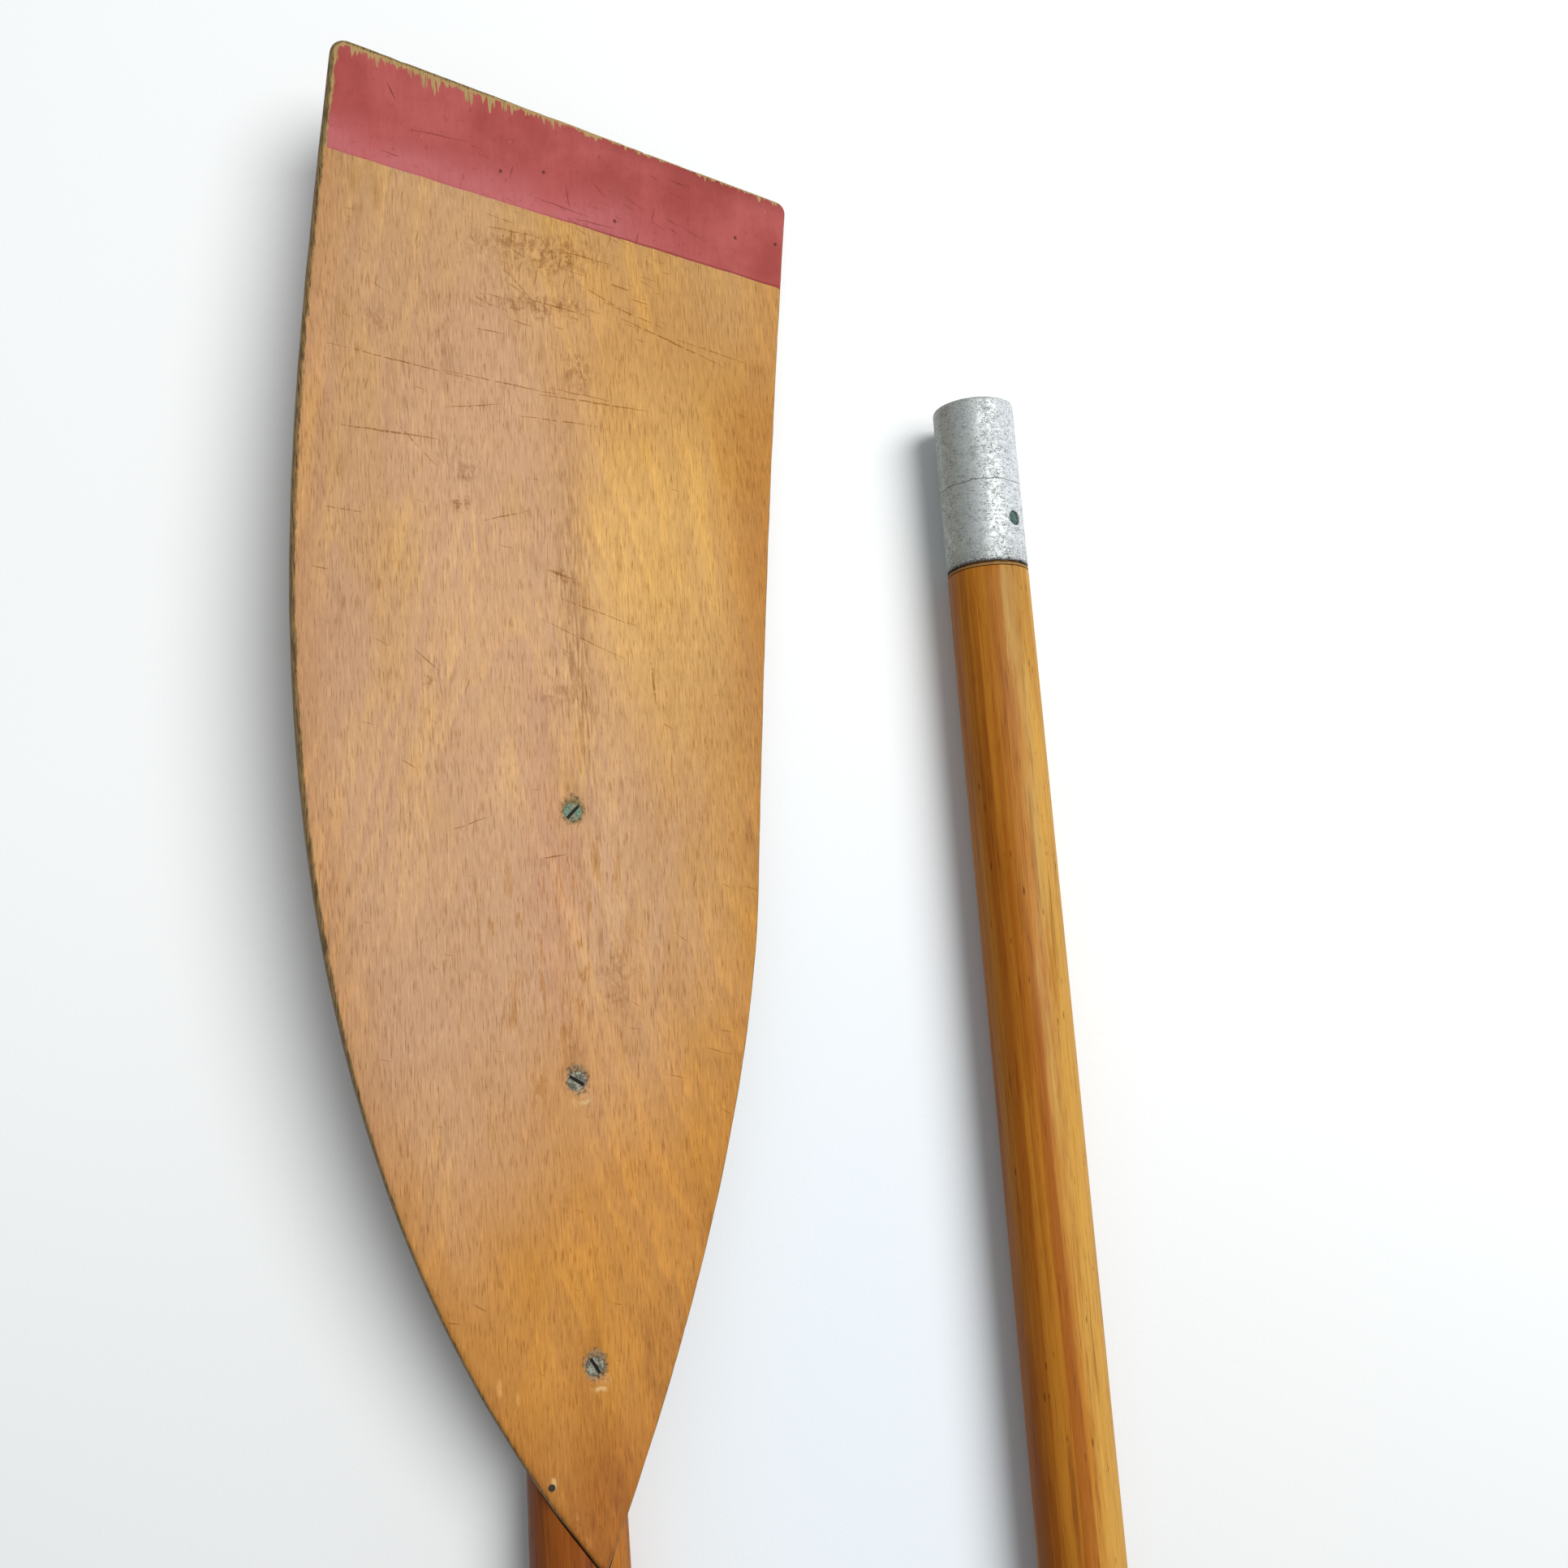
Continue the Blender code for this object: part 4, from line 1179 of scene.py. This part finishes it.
def build_screws(guide):
    slot_floor = FACE_HEIGHT - 0.0009
    verdigris = tarnished_material("screw_verdigris", guide, VERDIGRIS_BASE, VERDIGRIS, 330, slot_floor)
    dull = tarnished_material("screw_dull", guide, DULL_BRASS, DULL_BRASS_DARK, 520, slot_floor)
    upright = Matrix.Rotation(math.pi / 2, 4, "X")
    for i, (across, along) in enumerate(SCREW_PLACES):
        seat = BLADE_PLACE @ Matrix.Translation((across, along, FACE_HEIGHT - SCREW_SUNK))
        seat = seat @ Matrix.Rotation(math.radians(2 * (i - 1)), 4, "Y")
        finish = dull if i else verdigris
        name = f"blade_screw_{i + 1}"
        screw = new_piece(name, screw_mesh(), "blade_section", finish, seat @ upright)
        slot_turn = Matrix.Rotation(math.radians(SCREW_SLOT_ANGLES[i]), 4, "Z")
        slot = bmesh.new()
        bmesh.ops.create_cube(slot, size=1)
        cut_with(screw, slot, seat @ slot_turn @ Matrix.Diagonal((*SCREW_SLOT, 1)))


def build_brads(guide):
    sunk = tarnished_material("brad_sunk_iron", guide, (0.06, 0.05, 0.035), (0.03, 0.024, 0.018), 600)
    paint_cad_node("neck_brad_1", sunk)
    paint_cad_node("neck_brad_2", sunk)


# ---- ferrules and pins

def ferrule_tube(node, body, material, low, high, outer, bore, ragged=False):
    """A drawn tube with soft rims. Its lower rim is slightly ragged where ragged is true."""
    rim = TUBE_RIM
    inner_rim = bore + 0.0003
    length = high - low
    rings = max(8, int(length / 0.0009))
    profile = [(inner_rim, low + 0.0001), (outer - rim * 0.5, low), (outer, low + rim)]
    profile += [(outer, low + rim + (length - 2 * rim) * i / rings) for i in range(1, rings)]
    profile += [(outer, high - rim), (outer - rim * 0.3, high - rim * 0.3), (outer - rim, high)]
    profile += [(inner_rim, high), (bore, high - 0.0005), (bore, (low + high) / 2), (bore, low + 0.0005)]
    bm = turned(profile, 128, closed=True, lift=rough_skin(bore + 0.0004, 3, 160, 0.00002))
    for vert in bm.verts:
        if ragged and vert.co.y < low + 0.0012:
            vert.co.y += 0.00022 * (1 + noise_at(vert.co.x * 420, 0, vert.co.z * 420))
    return new_piece(node, bm, body, material)


def pin_shape(node):
    """Centre, axis, half length and radius of a cross pin, read from the pin's own CAD node."""
    source = frame["nodes"][node]
    low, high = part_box(node)
    centre = (low + high) / 2
    points = [source.matrix_world @ v.co - centre for v in source.data.vertices]
    reach = max(point.length for point in points)
    upper_end = [point for point in points if point.length > reach * 0.98 and point.z > 0]
    total = sum(upper_end, Vector((0, 0, 0)))
    axis = Vector((total.x, 0, total.z)).normalized()
    half_length = max(abs(point.dot(axis)) for point in points)
    radius = max((point - axis * point.dot(axis)).length for point in points)
    return centre, axis, half_length, radius


def build_pin(node, body, finish, tube):
    """A cross pin with soft ends, and its hole through the tube."""
    centre, axis, half_length, radius = pin_shape(node)
    dome = PIN_DOME
    end = half_length + dome * 0.3
    profile = [(0.0003, -end), (radius * 0.7, -half_length), (radius, dome - half_length)]
    profile += [(radius, half_length - dome), (radius * 0.7, half_length), (0.0003, end)]
    turn = Vector((0, 1, 0)).rotation_difference(axis).to_matrix().to_4x4()
    place = Matrix.Translation(centre) @ turn
    new_piece(node, turned(profile, 40, closed=False), body, finish, place)
    bore = radius + PIN_CLEARANCE
    hole = [(bore, -2 * half_length), (bore, 2 * half_length)]
    cut_with(tube, turned(hole, 40, closed=False), place)


def build_socket(guide):
    low = SOCKET_LOW.y - HEEL_Y
    high = SOCKET_HIGH.y - HEEL_Y
    metal = ferrule_material("socket_aluminium", guide, low, high - low)
    bore = LOOM_RADIUS + 0.0002
    tube = ferrule_tube("socket_tube", "blade_section", metal, low, high, SHAFT_RADIUS, bore)
    brass = tarnished_material("socket_pin_brass", guide, (0.2, 0.19, 0.11), (0.06, 0.1, 0.075), 500)
    build_pin("socket_pin", "blade_section", brass, tube)


def build_spigot(guide):
    low = SLEEVE_LOW.y - TIP_B_Y
    metal = ferrule_material("spigot_aluminium", guide, low, -low)
    bore = LOOM_RADIUS - SLEEVE_WALL
    tube = ferrule_tube("spigot_sleeve", "handle_section", metal, low, 0, LOOM_RADIUS, bore, ragged=True)
    brass = tarnished_material("spigot_pin_brass", guide, (0.11, 0.19, 0.17), (0.03, 0.07, 0.06), 700)
    build_pin("spigot_pin", "handle_section", brass, tube)


# ---- handle section

def loom_lift(angle, y, radius):
    """Small real unevenness of the varnished loom, always inwards, with a few knocks."""
    inside = LOOM_RADIUS - 0.0005
    if radius < inside:
        return 0
    change = rough_skin(inside, 1.6, 22, 0.00007)(angle, y, radius)
    for knock_y, knock_angle, size in LOOM_KNOCKS:
        across = LOOM_RADIUS * (1 - math.cos(angle - math.radians(knock_angle))) * 2.8
        distance = math.hypot(across, y - knock_y) / size
        if distance < 2.5:
            change -= 0.00022 * math.exp(-distance * distance)
    return change


def build_loom(guide):
    tone = ((0.38, 0.146, 0.013), (0.285, 0.084, 0.005), (0.19, 0.055, 0.005))
    wood = shaft_material("loom_varnish", guide, tone, (0.5, 0.275, 0.055), -0.26, -0.06)
    full = LOOM_RADIUS
    tenon = full - TENON_STEP
    low = GRIP_LOW.y - TIP_B_Y + 0.0063
    start = GRIP_HIGH.y - TIP_B_Y
    shoulder = BEAD_LOW.y - TIP_B_Y - 0.0003
    run = shoulder - start
    rings = int(run / 0.0035)
    profile = [(tenon, low), (tenon, start + 0.0003), (full - 0.0004, start + 0.0003), (full, start + 0.0008)]
    profile += [(full, start + 0.0008 + (run - 0.0016) * i / rings) for i in range(1, rings)]
    profile += [(full, shoulder - 0.0008), (full - 0.0003, shoulder - 0.0001), (full - 0.0005, shoulder)]
    profile += [(tenon, shoulder), (tenon, -0.0019), (tenon - 0.0004, -0.0015)]
    bm = turned(profile, 96, closed=False, lift=loom_lift)
    new_piece("handle_loom", bm, "handle_section", wood)


def bead_material(guide, low):
    """Dark sealant, lighter where it has drawn over the wood."""
    graph = Graph("dark_sealing_bead", guide)
    _, y, _ = graph.parts()
    grit = graph.noise((700, 1400, 700), 4, 0.75)
    upper = y - low + (grit - 0.5) * 0.0012
    colour = graph.mix(upper.span(0.00045, 0.0007), (0.33, 0.17, 0.05), (0.04, 0.033, 0.022))
    return graph.surface(colour, 0.75, graph.bump(grit, 0.0002), specular=0.2)


def build_bead(guide):
    low = BEAD_LOW.y - TIP_B_Y
    high = BEAD_HIGH.y - TIP_B_Y
    outer = (BEAD_HIGH.x - BEAD_LOW.x) / 2
    bore = LOOM_RADIUS - SLEEVE_WALL
    profile = [(outer - 0.0003, low), (outer - 0.0001, low + 0.0003), (outer, (low + high) / 2)]
    profile += [(outer - 0.0001, high - 0.0003), (outer - 0.0003, high), (bore, high), (bore, low)]
    bm = turned(profile, 128, closed=True, lift=rough_skin(bore + 0.0002, 9, 900, 0.00016))
    new_piece("shoulder_bead", bm, "shoulder_bead", bead_material(guide, low))


def build_rowlock_sleeve():
    guide = guide_empty("rowlock_guide", "rowlock_sleeve")
    rubber = rubber_material("rowlock_rubber", guide, (0.022, 0.021, 0.02), (0.085, 0.08, 0.072))
    low = ROWLOCK_LOW.y - TIP_B_Y
    length = ROWLOCK_HIGH.y - ROWLOCK_LOW.y
    outer = (ROWLOCK_HIGH.x - ROWLOCK_LOW.x) / 2
    bore = LOOM_RADIUS + 0.0003
    steps = 120
    profile = []
    for i in range(steps + 1):
        t = i / steps
        groove = 0.5 + 0.5 * math.cos(2 * math.pi * t * ROWLOCK_GROOVES)
        rim = min(t, 1 - t) * length
        fall = 0.0009 * max(0, 1 - rim / 0.002) ** 2
        profile.append((outer - ROWLOCK_GROOVE_DEPTH * groove - fall, low + length * t))
    profile += [(bore, low + length), (bore, low)]
    bm = turned(profile, 80, closed=True)
    new_piece("rowlock_sleeve", bm, "rowlock_sleeve", rubber, smooth_angle=60)


def build_hand_grip(guide):
    """A rubber grip with a domed end and ribs round it, and the tenon's hole in it."""
    rubber = rubber_material("grip_rubber_ribbed", guide, (0.026, 0.024, 0.023), (0.095, 0.088, 0.078))
    low = GRIP_LOW.y - TIP_B_Y
    mouth = GRIP_HIGH.y - TIP_B_Y
    outer = (GRIP_HIGH.x - GRIP_LOW.x) / 2
    tenon = LOOM_RADIUS - 0.0012
    dome = GRIP_DOME
    profile = [(0.0004, low)]
    for i in range(1, 9):
        a = math.pi / 2 * i / 8
        profile.append((outer - dome + dome * math.sin(a), low + dome * (1 - math.cos(a))))
    steps = 150
    for i in range(1, steps + 1):
        t = i / steps
        y = low + dome + (mouth - low - dome) * t
        rib = 0.5 - 0.5 * math.cos(2 * math.pi * t * GRIP_RIBS)
        ribbed = GRIP_RIB_DEPTH if 0.06 < t < 0.92 else 0
        rim = 0.001 * max(0, 1 - (mouth - y) / 0.0015) ** 2
        profile.append((outer - ribbed * rib - rim, y))
    profile += [(tenon, mouth), (tenon, low + 0.0062), (0.0004, low + 0.006)]
    bm = turned(profile, 72, closed=True)
    new_piece("hand_grip", bm, "handle_section", rubber, smooth_angle=60)


# ---- stage, light, camera

def build_floor():
    bm = bmesh.new()
    corners = ((-1, -1), (1, -1), (1, 1), (-1, 1))
    bm.faces.new([bm.verts.new((x * FLOOR_HALF, y * FLOOR_HALF, 0)) for x, y in corners])
    floor = linked_object("floor", bm)
    floor.data.materials.append(floor_material())


def build_light():
    world = bpy.data.worlds.new("studio")
    world.use_nodes = True
    background = world.node_tree.nodes["Background"]
    background.inputs["Color"].default_value = (0.93, 0.97, 1, 1)
    background.inputs["Strength"].default_value = SKY_STRENGTH
    bpy.context.scene.world = world
    data = bpy.data.lights.new("window", "AREA")
    data.shape = "DISK"
    data.size = WINDOW_SIZE
    data.energy = WINDOW_POWER
    data.color = (1, 0.995, 0.985)
    window = bpy.data.objects.new("window", data)
    offset = Vector(WINDOW_OFFSET)
    window.location = Vector((AXIS_A.x + LIT_ACROSS, HEEL_Y + LIT_ALONG, 0)) + offset
    window.rotation_euler = (-offset).to_track_quat("-Z", "Y").to_euler()
    bpy.context.scene.collection.objects.link(window)


def build_camera():
    data = bpy.data.cameras.new("camera")
    data.sensor_width = SENSOR_WIDTH
    data.lens = LENS
    data.clip_start = 0.01
    camera = bpy.data.objects.new("camera", data)
    camera.location = (AXIS_A.x + CAMERA_ACROSS, HEEL_Y + CAMERA_ALONG, CAMERA_HEIGHT)
    camera.rotation_euler = CAMERA_TURN
    bpy.context.scene.collection.objects.link(camera)
    bpy.context.scene.camera = camera


def main():
    blade_guide = guide_empty("blade_guide", "blade_section")
    handle_guide = guide_empty("handle_guide", "handle_section")
    build_blade(blade_guide)
    build_blade_shaft(blade_guide)
    build_screws(blade_guide)
    build_brads(blade_guide)
    build_socket(blade_guide)
    build_loom(handle_guide)
    build_spigot(handle_guide)
    build_bead(handle_guide)
    build_rowlock_sleeve()
    build_hand_grip(handle_guide)
    build_floor()
    build_light()
    build_camera()
    bpy.context.scene.view_settings.view_transform = "Standard"


main()
